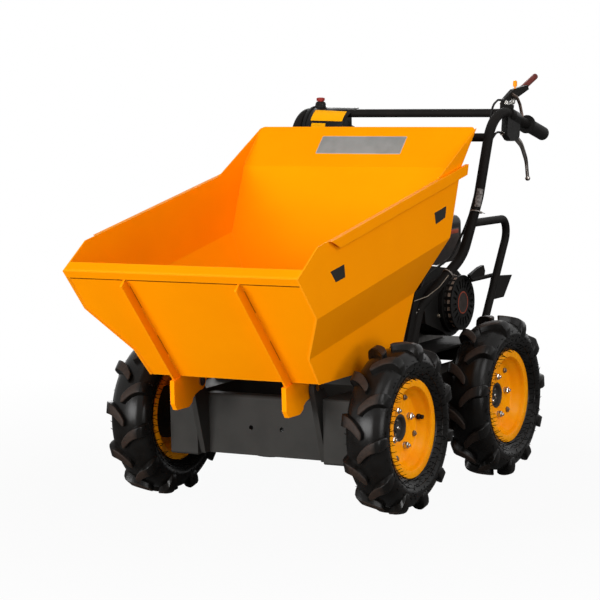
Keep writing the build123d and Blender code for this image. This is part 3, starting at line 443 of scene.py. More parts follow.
# a lug's stations from the middle of the tread, over the shoulder and down the side wall, as
# (x, outer radius, share of the rise, half width)
lug_stations = [
    (-0.0070, 0.2046, 0.00, 0.0050),
    (-0.0050, 0.2058, 0.03, 0.0088),
    (-0.0010, 0.2060, 0.12, 0.0114),
    (0.0070, 0.2060, 0.38, 0.0122),
    (0.0190, 0.2056, 0.70, 0.0124),
    (0.0310, 0.2046, 0.90, 0.0126),
    (0.0410, 0.2026, 1.00, 0.0132),
    (0.0480, 0.1985, 1.05, 0.0142),
    (0.0524, 0.1915, 1.10, 0.0146),
    (0.0546, 0.1800, 1.14, 0.0134),
    (0.0548, 0.1680, 1.16, 0.0112),
    (0.0530, 0.1565, 1.18, 0.0080),
]
lug_base = [
    (-0.003, 0.187), (-0.002, 0.187), (0.002, 0.187), (0.008, 0.187), (0.018, 0.186), (0.028, 0.183),
    (0.036, 0.179), (0.040, 0.174), (0.043, 0.170), (0.0455, 0.165), (0.0470, 0.160), (0.0480, 0.153),
]


def on_wheel(x, radius, turn, way):
    """A point on the wheel: turn is 0 at the front and a quarter at the top."""
    return Vector((x * way, -radius * math.cos(turn), radius * math.sin(turn)))


def add_lug(bm, way, half, turn):
    """One lug of the tread; half is +1 for the outer row and -1 for the inner one."""
    rings = []
    for (x, radius, share, width), (base_x, base_radius) in zip(lug_stations, lug_base):
        middle = turn + lug_rise * share
        spread = width / radius
        foot = (width + 0.0035) / base_radius
        corners = ((base_x, base_radius, -foot), (x, radius, -spread),
                   (x, radius, spread), (base_x, base_radius, foot))
        rings.append([bm.verts.new(on_wheel(u * half, r, middle + t, way)) for u, r, t in corners])
    join_rings(bm, rings)
    tops = [(low[k], high[k]) for low, high in zip(rings, rings[1:]) for k in (1, 2)]
    tops += [(ring[1], ring[2]) for ring in (rings[0], rings[-1])]
    soften(bm, [bm.edges.get(ends) for ends in tops], 0.0022, 3)


def tyre_mesh(way, turn):
    """The tyre of one wheel with its two rows of lugs."""
    bm = bmesh.new()
    section = [(-x, r) for x, r in reversed(half_section[1:])] + half_section
    section += inside_section + [(-x, r) for x, r in reversed(inside_section)]
    add_revolved(bm, section, steps=96)
    pitch = 2 * math.pi / lug_count
    for i in range(lug_count):
        add_lug(bm, way, 1, turn + i * pitch)
        add_lug(bm, way, -1, turn + (i + 0.5) * pitch)
    # a moulded rib round each side wall
    for half in (-1, 1):
        ring = [(0.0470, 0.1400), (0.0494, 0.1398), (0.0488, 0.1380), (0.0455, 0.1372)]
        add_revolved(bm, [(half * x, r) for x, r in ring], steps=96)
    return bm


# the mould's hairs: how many by a bead, and rows on a side wall, as (radius, x from the middle, how many)
bead_hairs = 58
wall_hairs = [(0.131, 0.0425, 46), (0.1425, 0.0480, 52), (0.1520, 0.0510, 52), (0.1630, 0.0508, 44)]


def add_whiskers(bm, way, seed):
    """The thin rubber hairs left by the mould, by the beads and along the side walls."""
    draw = random.Random(seed)
    for half in (-1, 1):
        for i in range(bead_hairs):
            turn = 2 * math.pi * (i + draw.uniform(-0.35, 0.35)) / bead_hairs
            low = draw.uniform(0.1215, 0.1265)
            start = on_wheel(half * 0.0385, low, turn, way)
            end = on_wheel(half * draw.uniform(0.0520, 0.0547), low + draw.uniform(-0.009, -0.001),
                           turn + draw.uniform(-0.05, 0.05), way)
            add_tube(bm, [start, between(start, end, 0.5), end], [0.0009, 0.0008, 0.0005], 4)
        for radius, low_x, count in wall_hairs:
            for i in range(count):
                turn = 2 * math.pi * (i + draw.uniform(-0.35, 0.35)) / count
                low = radius + draw.uniform(-0.003, 0.003)
                start = on_wheel(half * low_x, low, turn, way)
                end = on_wheel(half * draw.uniform(0.0526, 0.0547), low + draw.uniform(0.002, 0.009),
                               turn + draw.uniform(-0.06, 0.06), way)
                add_tube(bm, [start, end], [0.0009, 0.0006], 4)


# the rim's section, as (x from the middle, radius); the nave stands inside the rim's outer edge
nave_x = 0.003
rim_section = [
    (-0.0380, 0.1180), (-0.0380, 0.1015), (-0.0355, 0.0990), (-0.0150, 0.0975), (-0.0090, 0.0930),
    (-0.0040, 0.0840), (-0.0005, 0.0800), (0.0, 0.0760), (0.0, 0.0330), (nave_x, 0.0330), (nave_x, 0.0800),
    (0.0045, 0.0825), (0.0085, 0.0850), (0.0200, 0.0925), (0.0240, 0.0960), (0.0290, 0.0978),
    (0.0340, 0.0990), (0.0372, 0.1012), (0.0380, 0.1045), (0.0380, 0.1165), (0.0374, 0.1180),
    (0.0360, 0.1180), (0.0352, 0.1165), (0.0350, 0.1050), (0.0330, 0.1018), (-0.0330, 0.1018),
    (-0.0350, 0.1050), (-0.0352, 0.1165), (-0.0360, 0.1180),
]
stud_count = 4
stud_circle = 0.0500
split_circle = 0.0740


def rim_mesh(way):
    """The pressed rim of one wheel."""
    bm = bmesh.new()
    add_revolved(bm, [(x * way, r) for x, r in rim_section], steps=96)
    return bm


def hub_mesh(way):
    """The hub behind the nave, its cap through the nave and the axle's end."""
    bm = bmesh.new()
    cap = [
        (-0.072, 0), (-0.072, 0.0125), (-0.022, 0.0125), (-0.022, 0.028), (-0.0085, 0.029),
        (-0.008, 0.0640), (-0.0072, 0.0652), (-0.0008, 0.0652), (-0.0002, 0.0640), (-0.0002, 0.0325),
        (0.0022, 0.0325), (0.0030, 0.0318), (0.0030, 0.0275), (0.0018, 0.0262), (-0.0060, 0.0240),
        (-0.0070, 0.0215), (-0.0070, 0.0120), (-0.0040, 0.0110), (-0.0030, 0.0095), (-0.0030, 0),
    ]
    add_revolved(bm, [(x * way, r) for x, r in cap], steps=48, closed=False)
    return bm


def add_nuts(bm, way, stud_turn):
    """Domed wheel nuts with their studs' ends, and the axle's centre."""
    for i in range(stud_count):
        turn = stud_turn + 2 * math.pi * i / stud_count
        foot = on_wheel(nave_x, stud_circle, turn, way)
        out = Vector((way, 0, 0))
        add_revolved(bm, [(0, 0), (0, 0.0092), (0.0022, 0.0086), (0.0022, 0)], foot, out, 24, False)
        add_hexagon(bm, foot + out * 0.0018, out, 0.0088, 0.0092, 0.0012, i * 0.35)
        stud = [(0.0100, 0), (0.0100, 0.0042), (0.0150, 0.0042), (0.0160, 0.0034), (0.0160, 0)]
        add_revolved(bm, stud, foot, out, 16, False)
    centre = [(-0.0035, 0), (-0.0035, 0.0042), (-0.0012, 0.0040), (0.0002, 0.0025), (0.0006, 0)]
    add_revolved(bm, centre, (0, 0, 0), (way, 0, 0), 16, False)


def add_split_bolts(bm, way, stud_turn):
    """The bolts that hold the rim's two halves, and the small screws round the hub's end."""
    for i in range(stud_count):
        turn = stud_turn + 2 * math.pi * (i + 0.5) / stud_count
        foot = on_wheel(nave_x, split_circle, turn, way)
        out = Vector((way, 0, 0))
        add_hexagon(bm, foot, out, 0.0074, 0.0052, 0.0009, i * 0.6)
        end = [(0.004, 0), (0.004, 0.0034), (0.0078, 0.0034), (0.0084, 0.0028), (0.0084, 0)]
        add_revolved(bm, end, foot, out, 12, False)
        seal = on_wheel(-0.0072, 0.0170, turn, way)
        add_hexagon(bm, seal, out, 0.0032, 0.0022, 0.0005, i * 0.8)


def add_valve(bm, way, turn):
    """A rubber valve with its cap, standing out of the rim's slope."""
    foot = on_wheel(0.0120, 0.0860, turn, way)
    out = (Vector((way, 0, 0)) - on_wheel(0, 1, turn, way) * 0.12).normalized()
    profile = [
        (-0.004, 0), (-0.004, 0.0072), (0.0012, 0.0070), (0.0030, 0.0050), (0.0050, 0.0044), (0.0054, 0.0056),
        (0.0104, 0.0054), (0.0112, 0.0042), (0.0114, 0),
    ]
    add_revolved(bm, profile, foot, out, 16, False)


rubber = tyre_rubber(tyre_radius)
for wheel_name, wheel_side, wheel_y, lug_turn, stud_turn, valve_turn in wheels:
    centre = (wheel_side * wheel_x, wheel_y, axle_height)
    body = f"wheel_{wheel_name}"
    lugged = tyre_mesh(wheel_side, math.radians(lug_turn))
    piece(f"tyre_{wheel_name}.lugged", lugged, rubber, body, [f"tyre_{wheel_name}"], smooth=32,
          place=centre)
    piece(f"rim_{wheel_name}.pressed", rim_mesh(wheel_side), rim_orange, body,
          [f"rim_{wheel_name}"], place=centre)
    piece(f"hub_{wheel_name}.turned", hub_mesh(wheel_side), plate_black, body,
          [f"hub_{wheel_name}"], place=centre)
    for name, add_part, detail, finish, slot in (
        (f"tyre_{wheel_name}.whiskers", add_whiskers, wheel_name, whisker_black, "tyre_rubber"),
        (f"hub_{wheel_name}.nuts", add_nuts, math.radians(stud_turn), bright_metal, "bright_lever"),
        (f"rim_{wheel_name}.bolts", add_split_bolts, math.radians(stud_turn), dull_metal, "dark_steel"),
        (f"rim_{wheel_name}.valve", add_valve, math.radians(valve_turn), plastic_black, "black_rubber"),
    ):
        part = bmesh.new()
        add_part(part, wheel_side, detail)
        piece(name, part, finish, body, place=centre)

# ---------------------------------------------------------------- sheet metal and frame
for node in ("skip_front", "skip_floor", "skip_back", "skip_sides"):
    refined(node, orange, edge=0.0007, fold=0.0035)
for node in ("skip_strips", "skip_ribs"):
    refined(node, orange, edge=0.0009)
for node in ("side_cases", "front_plate", "rear_plate", "hinge_brackets", "frame_rails"):
    refined(node, plate_black, edge=0.0012)
refined("engine_deck", deck_grey, edge=0.0008)
for node in ("gearbox", "belt_guard"):
    refined(node, plate_black, edge=0.0015)

shown_as_is = [
    # node, material
    ("rest_pads", grip_rubber), ("hinge_pins", bright_metal),
    ("crankcase", cast_metal), ("cylinder", cast_metal),
    ("fan_housing", plastic_black), ("recoil_cover", plastic_black), ("fuel_tank", tank_black),
    ("carburettor", cast_metal), ("air_filter", plastic_black), ("muffler", plate_black),
    ("handle_left", gloss_black), ("handle_right", gloss_black), ("crossbars", gloss_black),
    ("guard_left", gloss_black), ("guard_right", gloss_black), ("grips", grip_rubber),
    ("lever_housings", plastic_black), ("clutch_lever", gloss_black), ("clutch_grip", dark_red),
    ("throttle", orange_plastic), ("cables", plastic_black), ("shift_linkage", gloss_black),
]
for node, finish in shown_as_is:
    shown = frame["nodes"][node]
    shown.data.materials.clear()
    shown.data.materials.append(finish)

# ---------------------------------------------------------------- marks and welds on the skip
flange_fold = Vector((0.0, 0.110, 0.799))     # outer corner where the flange leaves the back panel
lip_corner = Vector((0.0, -0.716, 0.605))
sheet = 0.003
skip_half = 0.316
rib_x = 0.154
panel_inset = 0.004
panel_down = Vector((0.0, 0.233, -0.271)).normalized()
panel_out = Vector((0.0, -0.271, -0.233)).normalized()
slope = math.sqrt(0.5)


def on_flange(u, v, w):
    """Drawn on the flange's inner face: v up the slope from its fold, w off the sheet."""
    return flange_fold + Vector((u, (v - sheet - w) * slope, (v + sheet + w) * slope))


def on_panel(u, v, w):
    """Drawn on the front panel's outer face: v down from the lip's corner, w off the sheet."""
    return lip_corner + Vector((u, 0, 0)) + panel_down * v + panel_out * (w - panel_inset)


def frame_of(low_u, low_v, high_u, high_v, inset=0.0):
    """A rectangle's corners, drawn in by inset."""
    return [
        (low_u + inset, low_v + inset), (high_u - inset, low_v + inset),
        (high_u - inset, high_v - inset), (low_u + inset, high_v - inset),
    ]


label_ends = (-0.1145, 0.0435, 0.1320, 0.1040)
label = bmesh.new()
add_prism(label, rounded(frame_of(*label_ends), 0.003), 0.0, 0.0004, on_flange, 0.0001)
piece("skip_back.label_edge", label, pale_label, "skip")
label = bmesh.new()
add_prism(label, rounded(frame_of(*label_ends, 0.0025), 0.002), 0.0003, 0.0006, on_flange, 0.0001)
piece("skip_back.label", label, grey_label, "skip")

side_bars = [
    # front bar and rear bar on each side, as (y, z)
    [(-0.5672, 0.6076), (-0.5019, 0.6187), (-0.4984, 0.5886), (-0.5431, 0.5815)],
    [(-0.0392, 0.6999), (0.0262, 0.7119), (0.0192, 0.6840), (-0.0331, 0.6713)],
]
bars = bmesh.new()
for bar in side_bars:
    add_pair(bars, bar, skip_half - 0.0001, skip_half + 0.0003)
piece("skip_sides.bars", bars, bar_black, "skip")

# a dark strip painted under the lip's edge as its shadow, and the dark gaps between the ribs' stitch welds
gaps_and_lip_shadow = bmesh.new()
add_prism(gaps_and_lip_shadow, frame_of(-0.3115, 0.0240, 0.3115, 0.0294), 0.0, 0.0003, on_panel)
stitches = [
    # down from the lip's corner: a gap's start and end
    (0.048, 0.121), (0.216, 0.283),
]
for rib in (-1, 1):
    middle = rib * rib_x
    for way in (-1, 1):
        edge = middle + way * 0.0026
        for start, end in stitches:
            low, high = sorted((edge, edge + way * 0.0009))
            add_prism(gaps_and_lip_shadow, frame_of(low, start, high, end), 0.0, 0.0004, on_panel)
piece("skip_ribs.gaps", gaps_and_lip_shadow, gap_brown, "skip")

# weld seams in the corner between the front panel and the side sheets, which stand proud of it
seams = bmesh.new()
# across and down the panel
seam_line = [(0.3128, 0.0245), (0.3128, 0.1303), (0.2381, 0.2715), (0.2311, 0.3575)]
for way in (-1, 1):
    join_rings(seams, [
        [seams.verts.new(on_panel(way * across, down, off))
         for across, off in ((u, -0.0003), (u, 0.0038), (u - 0.0050, -0.0003))]
        for u, down in seam_line
    ])
piece("skip_front.seams", seams, orange, "skip")

# the ribs reach up to the lip, and each wing runs on to the flange's top corner
tops = bmesh.new()
rib_top = [(0.0226, 0.0), (0.0226, 0.0232), (0.0247, 0.0250), (0.0370, 0.0250)]  # down it, off it
for rib in (-1, 1):
    middle = rib * rib_x
    add_prism(tops, rib_top, middle - 0.0025, middle + 0.0025, lambda v, w, u: on_panel(u, v, w), 0.0004)
piece("skip_ribs.tops", tops, orange, "skip")
wings = bmesh.new()
wing_tip = [
    (0.1405, 0.8615), (0.2010, 0.8931), (0.2055, 0.8946), (0.2046, 0.8930), (0.1440, 0.8323), (0.1300, 0.8420),
]
add_pair(wings, wing_tip, 0.3132, 0.3157, 0.0006)
piece("skip_sides.wing_tips", wings, orange, "skip")

# weld beads of uneven width, between the ribs' gaps and along the flange
bead_step = 0.0045
beads = bmesh.new()
draw = random.Random("beads")
for rib in (-1, 1):
    middle = rib * rib_x
    for way in (-1, 1):
        edge = middle + way * 0.0028
        for start, end in ((0.028, 0.047), (0.122, 0.215), (0.284, 0.350)):
            steps = int((end - start) / bead_step)
            path = [on_panel(edge, start + (end - start) * i / steps, 0.0004) for i in range(steps + 1)]
            add_tube(beads, path, [0.0019 + draw.uniform(-0.0004, 0.0004) for _ in path], 8)
for way in (-1, 1):
    # where each wing's edge starts, and along the seam between the flange and the side
    add_revolved(beads, [(-0.003, 0), (-0.0022, 0.0022), (0, 0.0034), (0.0024, 0.0022), (0.0034, 0)],
                 (way * 0.3135, -0.0125, 0.7822), (0, 1, 0.3), 12, False)
    path = [on_flange(way * 0.3125, 0.006 + bead_step * i, 0.0004) for i in range(28)]
    add_tube(beads, path, [0.0018 + draw.uniform(-0.0004, 0.0004) for _ in path], 8)
piece("skip_ribs.beads", beads, orange, "skip")

# ---------------------------------------------------------------- console
console_low, console_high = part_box("console")
arc_centre = (0.430, 0.856)
arc_radius = 0.092
skin_inset = 0.006
skin_fall = 0.0065            # how much nearer the axis the skin is at its inner end


def console_skin(bm, low_x, high_x, radius, drop, first=-12.0, last=90.0, thick=0.003, slant=0.0, steps=30):
    """A curved sheet about the console's own axis, from first to last degrees above the front."""
    rings = []
    for i in range(steps + 1):
        turn = math.radians(first + (last - first) * i / steps)
        end_x = high_x - slant * (1 - math.sin(max(turn, 0.0)))
        corners = ((low_x, radius - thick), (low_x, radius),
                   (end_x, radius - drop), (end_x, radius - drop - thick))
        rings.append([bm.verts.new((x, arc_centre[0] - r * math.cos(turn), arc_centre[1] + r * math.sin(turn)))
                      for x, r in corners])
    join_rings(bm, rings)


housing = bmesh.new()
console_skin(housing, console_low.x + skin_inset, console_high.x, arc_radius - 0.0020, skin_fall, slant=0.024)
soften(housing, turning(housing, 50), 0.0012)
cheeks = [
    # low x, high x, radius, thickness
    (console_low.x, console_low.x + 0.009, arc_radius, 0.0075),
    (console_low.x + 0.0015, console_low.x + 0.0045, arc_radius - 0.006, 0.062),
    (console_high.x - 0.026, console_high.x - 0.023, arc_radius - 0.0120, 0.056),
]
for low_x, high_x, radius, thick in cheeks:
    cheek = bmesh.new()
    console_skin(cheek, low_x, high_x, radius, 0.0, thick=thick)
    soften(cheek, turning(cheek, 50), 0.0011, 3)
    spare = bpy.data.meshes.new("cheek")
    cheek.to_mesh(spare)
    cheek.free()
    housing.from_mesh(spare)
    bpy.data.meshes.remove(spare)
# the flat back, and the lower body behind the arc
back = frame_of(console_low.x + 0.004, arc_centre[0] - 0.004, console_high.x - 0.024, arc_centre[0] - 0.0005)
add_prism(housing, back, console_low.z + 0.002, arc_centre[1] + arc_radius - 0.0120, plan, 0.0008)
# the raised collar under the knob
knob_x = -0.2520
knob_axis = (0, 0.04, 1)
collar = [(-0.010, 0), (-0.010, 0.0165), (0.001, 0.0150), (0.0040, 0.0125), (0.0040, 0)]
add_revolved(housing, collar, (knob_x, 0.4160, 0.9440), (0, 0, 1), 32, False)
collar = [(0, 0), (0, 0.0150), (0.0050, 0.0140), (0.0090, 0.0118), (0.0102, 0.0104), (0.0102, 0)]
add_revolved(housing, collar, (knob_x, 0.4180, 0.9462), knob_axis, 32, False)
piece("console.moulded", housing, console_black, "chassis", ["console"], smooth=40)

skin_slope = skin_fall / (console_high.x - console_low.x - skin_inset)
for name, low_x, high_x, first, last in (
    ("upper", -0.2500, -0.1560, 35.5, 61.5),
    ("lower", -0.2440, -0.2030, 14.0, 30.5),
):
    curved = bmesh.new()
    radius = arc_radius - 0.0014 - (low_x - console_low.x - skin_inset) * skin_slope
    console_skin(curved, low_x, high_x, radius, (high_x - low_x) * skin_slope, first, last, 0.0006, steps=12)
    piece(f"console.label_{name}", curved, yellow_label, "chassis", smooth=40)

# the upper crossbar's coated tube, thicker than its core in the solids
bar_low, bar_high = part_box("crossbars")
bar_core = 0.0085
coated_bar = bmesh.new()
add_rod(coated_bar, (bar_low.x - 0.003, bar_high.y - bar_core, bar_high.z - bar_core),
        (bar_high.x + 0.003, bar_high.y - bar_core, bar_high.z - bar_core), 0.0110, 32)
piece("crossbars.upper_coat", coated_bar, gloss_black, "chassis")

knob = bmesh.new()
profile = [
    (0, 0), (0, 0.0078), (0.0030, 0.0090), (0.0080, 0.0112), (0.0106, 0.0108), (0.0120, 0.0088), (0.0124, 0),
]
add_revolved(knob, profile, (knob_x, 0.4184, 0.9552), knob_axis, 32, False)
knob_ribs = 8
for i in range(knob_ribs):
    x = knob_x + 0.0104 * math.cos(2 * math.pi * i / knob_ribs)
    y = 0.4185 + 0.0104 * math.sin(2 * math.pi * i / knob_ribs)
    add_rod(knob, (x, y, 0.9585), (x, y + 0.0004, 0.9660), 0.0013, 8)
piece("console_knob.ribbed", knob, red_plastic, "chassis", ["console_knob"])

# ---------------------------------------------------------------- handlebars and their levers
tube_radius = 0.013
handle_foot = Vector((0.280, 0.287, 0.716))
handle_top = Vector((0.290, 0.363, 0.947))
lower_foot = Vector((0.202, 0.092, 0.445))
lower_top = Vector((0.256, 0.238, 0.567))
outward = Vector((0.5, -0.86, 0.0))


def add_wrap(bm, start, end, radius, thick, half_turn, facing, steps=16):
    """A strip wrapped on a round bar from start to end, reaching half_turn each side of facing."""
    along = (end - start).normalized()
    face = (facing - along * facing.dot(along)).normalized()
    across = along.cross(face)
    corners = ((start, radius), (start, radius + thick), (end, radius + thick), (end, radius))
    rings = []
    for i in range(steps + 1):
        turn = half_turn * (2 * i / steps - 1)
        out = face * math.cos(turn) + across * math.sin(turn)
        rings.append([bm.verts.new(point + out * r) for point, r in corners])
    join_rings(bm, rings, half_turn < math.pi - 0.01)
    bmesh.ops.remove_doubles(bm, verts=[v for ring in rings for v in ring], dist=1e-6)
    bmesh.ops.recalc_face_normals(bm, faces=bm.faces)


sticker = bmesh.new()
add_wrap(sticker, between(handle_foot, handle_top, -0.12), between(handle_foot, handle_top, 0.075),
         tube_radius, 0.0004, math.radians(37), outward)
piece("handle_left.label", sticker, worn_label, "chassis")

ties = bmesh.new()
for start, end, share, radius in (
    (handle_foot, handle_top, -0.165, 0.0162),
    (lower_foot, lower_top, 0.66, 0.0160),
):
    for way in (-1, 1):
        mirror = Vector((way, 1, 1))
        middle = between(start, end, share) * mirror
        reach = (end - start).normalized() * mirror * 0.0013
        add_wrap(ties, middle - reach, middle + reach, radius - 0.0032, 0.0034, math.pi, outward * mirror, 24)
        tail = middle + Vector((way * 0.012, -0.006, 0.0))
        add_rod(ties, tail, tail + Vector((way * 0.014, 0.004, -0.004)), 0.0010, 8, 0.0003)
piece("handle_left.ties", ties, pale_tie, "chassis")

# clutch bracket's fasteners and its spring
bits = bmesh.new()
for y, z, size, turn in (
    (0.4760, 0.9470, 0.0042, 0.2),
    (0.5160, 0.9500, 0.0040, 0.5),
    (0.5340, 0.9600, 0.0036, 0.9),
):
    add_bolt(bits, (0.2722, y, z), (1, 0, 0), size, turn)
    add_hexagon(bits, (0.2615, y, z), (-1, 0, 0), size * 1.8, size * 1.0, size * 0.18, turn)
spring_x = 0.2740
spring_radius = 0.0042
add_rod(bits, (spring_x, 0.4860, 0.9440), (spring_x, 0.5190, 0.9475), 0.0030, 12)
for i in range(7):
    middle = Vector((spring_x, 0.4890 + 0.0042 * i, 0.9443 + 0.0005 * i))
    turns = [2 * math.pi * k / 16 for k in range(17)]
    ring = [middle + Vector((math.cos(t), 0, math.sin(t))) * spring_radius for t in turns]
    add_tube(bits, ring, 0.0008, 6)
piece("clutch_lever.fasteners", bits, bright_metal, "chassis")

routed = [
    # name, material, slot, radius, sides, corner radii, steps, corners of the route
    ("clutch_lever.arm", worn_steel, "dark_steel", 0.0042, 10, 0.02, 5,
     [(0.2740, 0.5120, 0.9700), (0.2800, 0.5300, 0.9600), (0.2820, 0.5430, 0.9420), (0.2840, 0.5480, 0.9200),
      (0.2880, 0.5480, 0.9000)]),
    ("cables.clutch_loop", plastic_black, "black_rubber", 0.0030, 12, [0.04, 0.04, 0.06, 0.08], 8,
     [(0.2690, 0.4720, 0.9560), (0.2690, 0.4330, 0.9580), (0.2710, 0.4000, 0.9460), (0.2730, 0.3800, 0.9160),
      (0.2760, 0.3680, 0.8820), (0.2800, 0.3560, 0.8480)]),
    ("cables.wire", dull_metal, "black_rubber", 0.0010, 8, 0.05, 5,
     [(0.2455, 0.1745, 0.5230), (0.2360, 0.1400, 0.4960), (0.2220, 0.1000, 0.4760), (0.2050, 0.0600, 0.4680)]),
]
for name, finish, slot, radius, sides, corner, steps, route in routed:
    tube = bmesh.new()
    add_tube(tube, bent(route, corner, steps), radius, sides)
    piece(name, tube, finish, "chassis")

# bare flecks where the tube is welded to its gusset
flecks = bmesh.new()
draw = random.Random("flecks")
for way in (-1, 1):
    for i in range(9):
        middle = between(lower_foot, lower_top, -0.06 + 0.052 * i + draw.uniform(-0.01, 0.01))
        run = (lower_top - lower_foot).normalized() * draw.uniform(0.001, 0.0028)
        spot = middle + outward.normalized() * (tube_radius + 0.0001)
        spot.z += draw.uniform(-0.002, 0.002)
        start, end = spot - run, spot + run
        add_rod(flecks, (start.x * way, start.y, start.z), (end.x * way, end.y, end.z), 0.0011, 6, 0.0002)
piece("handle_left.flecks", flecks, pale_tie, "chassis")

ferrules = bmesh.new()
for way in (-1, 1):
    x = way * 0.2860
    add_rod(ferrules, (x, 0.4225, 0.8712), (x, 0.4290, 0.8712), 0.0052, 16, 0.0008)
    add_hexagon(ferrules, (x, 0.4180, 0.8714), (0, 1, 0), 0.0062, 0.0048, 0.0008, 0.3)
piece("lever_housings.ferrules", ferrules, bright_metal, "chassis")

# the steering levers are flat castings that narrow to a ball
lever_x = 0.290
ball = [
    (-0.0072, 0), (-0.0062, 0.0037), (-0.0037, 0.0062), (0, 0.0072), (0.0037, 0.0062), (0.0062, 0.0037),
    (0.0072, 0),
]
lever_line = [(0.486, 0.862), (0.532, 0.836), (0.561, 0.794), (0.569, 0.745)]
levers = bmesh.new()
for way in (-1, 1):
    path = bent([(way * lever_x, y, z) for y, z in lever_line], 0.060, 10)
    rings = []
    for i, point in enumerate(path):
        run = run_at(path, i)
        share = i / (len(path) - 1)
        wide = Vector((0, -run.z, run.y)) * (0.0090 - 0.0026 * share)
        rings.append(ring_of(levers, point, wide, Vector((0.0056 - 0.0014 * share, 0, 0)), 16))
    join_rings(levers, rings)
    add_revolved(levers, ball, (way * lever_x, *lever_line[-1]), (0, 0, 1), 20, False)
piece("steering_levers.cast", levers, lever_metal, "chassis", ["steering_levers"])

# ---------------------------------------------------------------- engine's small parts
crank = Vector((0.0, 0.346, 0.433))
cover_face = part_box("recoil_cover")[1].x
cover_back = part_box("recoil_cover")[0].x
tank_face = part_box("fuel_tank")[1].x

cover_middle = (cover_face, crank.y, crank.z)
badge = bmesh.new()
add_revolved(badge, [(0, 0), (0, 0.0262), (0.0006, 0.0260), (0.0007, 0)], cover_middle, closed=False)
piece("recoil_cover.badge", badge, dark_label, "chassis")
ring = bmesh.new()
profile = [(0, 0.0262), (0, 0.0292), (0.0008, 0.0290), (0.0010, 0.0277), (0.0008, 0.0264)]
add_revolved(ring, profile, cover_middle)
piece("recoil_cover.ring", ring, red_ring, "chassis")

# a cage of bars round the cover's side, with the fan's pale blades behind them
cage = bmesh.new()
blades = bmesh.new()
shades = bmesh.new()
cover_radius = 0.0705
hoop = [(-0.0011, cover_radius - 0.001), (-0.0011, cover_radius + 0.0016), (0.0011, cover_radius + 0.0016),
        (0.0011, cover_radius - 0.001)]
for x in (cover_back + 0.0125, cover_back + 0.0215, cover_face - 0.0015):
    add_revolved(cage, hoop, (x, crank.y, crank.z), steps=72)
cage_bars = 24
for i in range(cage_bars):
    turn = 2 * math.pi * i / cage_bars
    out = Vector((0, math.cos(turn), math.sin(turn)))
    start = crank + out * (cover_radius + 0.0003) + Vector((cover_back + 0.012, 0, 0))
    add_rod(cage, start, start + Vector((cover_face - cover_back - 0.0135, 0, 0)), 0.0014, 8, 0.0003)
    if 7 <= i <= 20:
        half_way = turn + math.pi / cage_bars
        facing = Vector((0, math.cos(half_way), math.sin(half_way)))
        for plates, low_x, high_x in ((shades, 0.0138, 0.0200), (blades, 0.0228, 0.0318)):
            low, high = (crank + Vector((cover_back + x, 0, 0)) for x in (low_x, high_x))
            add_wrap(plates, low, high, cover_radius, 0.0005, math.radians(4.2), facing, 2)
piece("recoil_cover.cage", cage, plastic_black, "chassis")
piece("recoil_cover.blades", blades, fan_metal, "chassis")
piece("recoil_cover.shades", shades, shade_grey, "chassis")

for name, finish, slot, corners, lift in (
    ("label", dark_label, "black_plastic", frame_of(0.372, 0.5660, 0.478, 0.6180), 0.0005),
    ("stripe", red_ring, "red_plastic", frame_of(0.374, 0.6040, 0.476, 0.6150), 0.0007),
):
    plate = bmesh.new()
    add_prism(plate, rounded(corners, 0.0015), tank_face - 0.0002, tank_face + lift, side, 0.0001)
    piece(f"fuel_tank.{name}", plate, finish, "chassis")

# the governor's rod and three bolts on top of the engine
governor = bmesh.new()
rod = [(0.100, 0.330, 0.5235), (0.102, 0.352, 0.5290), (0.104, 0.404, 0.5285), (0.106, 0.430, 0.5235)]
add_tube(governor, bent(rod, 0.01, 5), 0.0020, 8)
for y in (0.352, 0.395, 0.412):
    add_bolt(governor, (0.104, y, 0.5235), (0, 0, 1), 0.0034, y * 9)
piece("fan_housing.governor", governor, bright_metal, "chassis")

cover_bolts = bmesh.new()
for i in range(3):
    turn = math.radians(80 + 120 * i)
    spot = Vector((0.1680, crank.y + 0.0815 * math.cos(turn), crank.z + 0.0815 * math.sin(turn)))
    add_bolt(cover_bolts, spot, (1, 0, 0), 0.0030, i)
piece("fan_housing.bolts", cover_bolts, dull_metal, "chassis")

# ---------------------------------------------------------------- stage, light and camera
def make_floor():
    """A pale floor, nearly white to the camera, that keeps the soft shadow."""
    bm = bmesh.new()
    bmesh.ops.create_grid(bm, x_segments=1, y_segments=1, size=60.0)
    mesh = bpy.data.meshes.new("floor")
    bm.to_mesh(mesh)
    bm.free()
    floor = bpy.data.objects.new("floor", mesh)
    scene.collection.objects.link(floor)
    material = bpy.data.materials.new("floor_white")
    material.use_nodes = True
    tree = material.node_tree
    shader = tree.nodes["Principled BSDF"]
    fill(tree, shader, {"Base Color": (0.20, 0.20, 0.20, 1), "Roughness": 0.9, "Specular IOR Level": 0.0})
    glow = add_node(tree, "Emission", {"Color": (1, 1, 1, 1)}).outputs["Emission"]
    reach = add_length(tree, add_node(tree, "TexCoord").outputs["Object"])
    far = add_range(tree, reach, 0.7, 2.2, 0.95, 1.0)
    share = add_maths(tree, "MULTIPLY", add_node(tree, "LightPath").outputs["Is Camera Ray"], far)
    mix = add_node(tree, "MixShader", {0: share, 1: shader.outputs["BSDF"], 2: glow})
    fill(tree, tree.nodes["Material Output"], {"Surface": mix.outputs["Shader"]})
    mesh.materials.append(material)


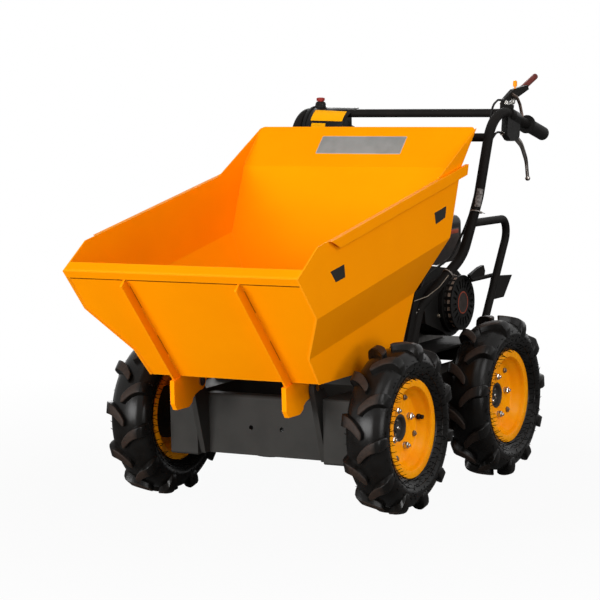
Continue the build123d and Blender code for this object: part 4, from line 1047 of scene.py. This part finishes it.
def make_world(level):
    """Even light from all round, with white behind the object."""
    world = bpy.data.worlds.new("studio")
    scene.world = world
    world.use_nodes = True
    tree = world.node_tree
    rays = add_node(tree, "LightPath").outputs
    seen = add_maths(tree, "MAXIMUM", rays["Is Camera Ray"], rays["Is Transmission Ray"])
    seen = add_maths(tree, "MAXIMUM", seen, rays["Is Glossy Ray"])
    strength = add_range(tree, seen, 0.0, 1.0, level, 1.0)
    fill(tree, tree.nodes["Background"], {"Color": (1, 1, 1, 1), "Strength": strength})


def make_lamp(name, place, target, size, watts):
    """A soft box that looks at a point."""
    lamp = bpy.data.lights.new(name, "AREA")
    lamp.shape = "RECTANGLE"
    lamp.size, lamp.size_y = size
    lamp.energy = watts
    made = bpy.data.objects.new(name, lamp)
    made.location = place
    made.rotation_euler = (Vector(target) - Vector(place)).to_track_quat("-Z", "Y").to_euler()
    scene.collection.objects.link(made)


def make_camera():
    """The photograph's view: where it stands, where it looks and how narrow it is."""
    azimuth = math.radians(29.8584)
    pitch = math.radians(6.4690)
    roll = math.radians(-1.28057)
    right = Vector((math.cos(azimuth), math.sin(azimuth), 0))
    look = Vector((-math.sin(azimuth) * math.cos(pitch), math.cos(azimuth) * math.cos(pitch), -math.sin(pitch)))
    up = right.cross(look)
    across = right * math.cos(roll) + up * math.sin(roll)
    upwards = up * math.cos(roll) - right * math.sin(roll)
    camera = bpy.data.cameras.new("camera")
    camera.lens = 143.47
    camera.sensor_width = 36.0
    made = bpy.data.objects.new("camera", camera)
    turned = Matrix((across, upwards, -look)).transposed().to_4x4()
    made.matrix_world = Matrix.Translation((2.9248, -5.2521, 1.1534)) @ turned
    scene.collection.objects.link(made)
    scene.camera = made


make_floor()
make_world(0.27)
make_lamp("front_box", (-0.9, -5.6, 0.9), (0, -0.2, 0.5), (3.4, 2.2), 340.0)
make_lamp("side_box", (3.9, -1.3, 3.0), (0, 0, 0.5), (2.4, 2.0), 77.0)
make_lamp("low_side_box", (3.6, -1.0, 0.5), (0, -0.1, 0.3), (1.8, 0.9), 31.0)
make_lamp("top_box", (0.4, -2.6, 4.0), (0, 0, 0.6), (2.4, 1.8), 27.0)
make_lamp("rear_box", (-2.6, 4.6, 2.6), (0, 0, 0.5), (2.6, 2.2), 120.0)
make_camera()
scene.view_settings.view_transform = "Standard"
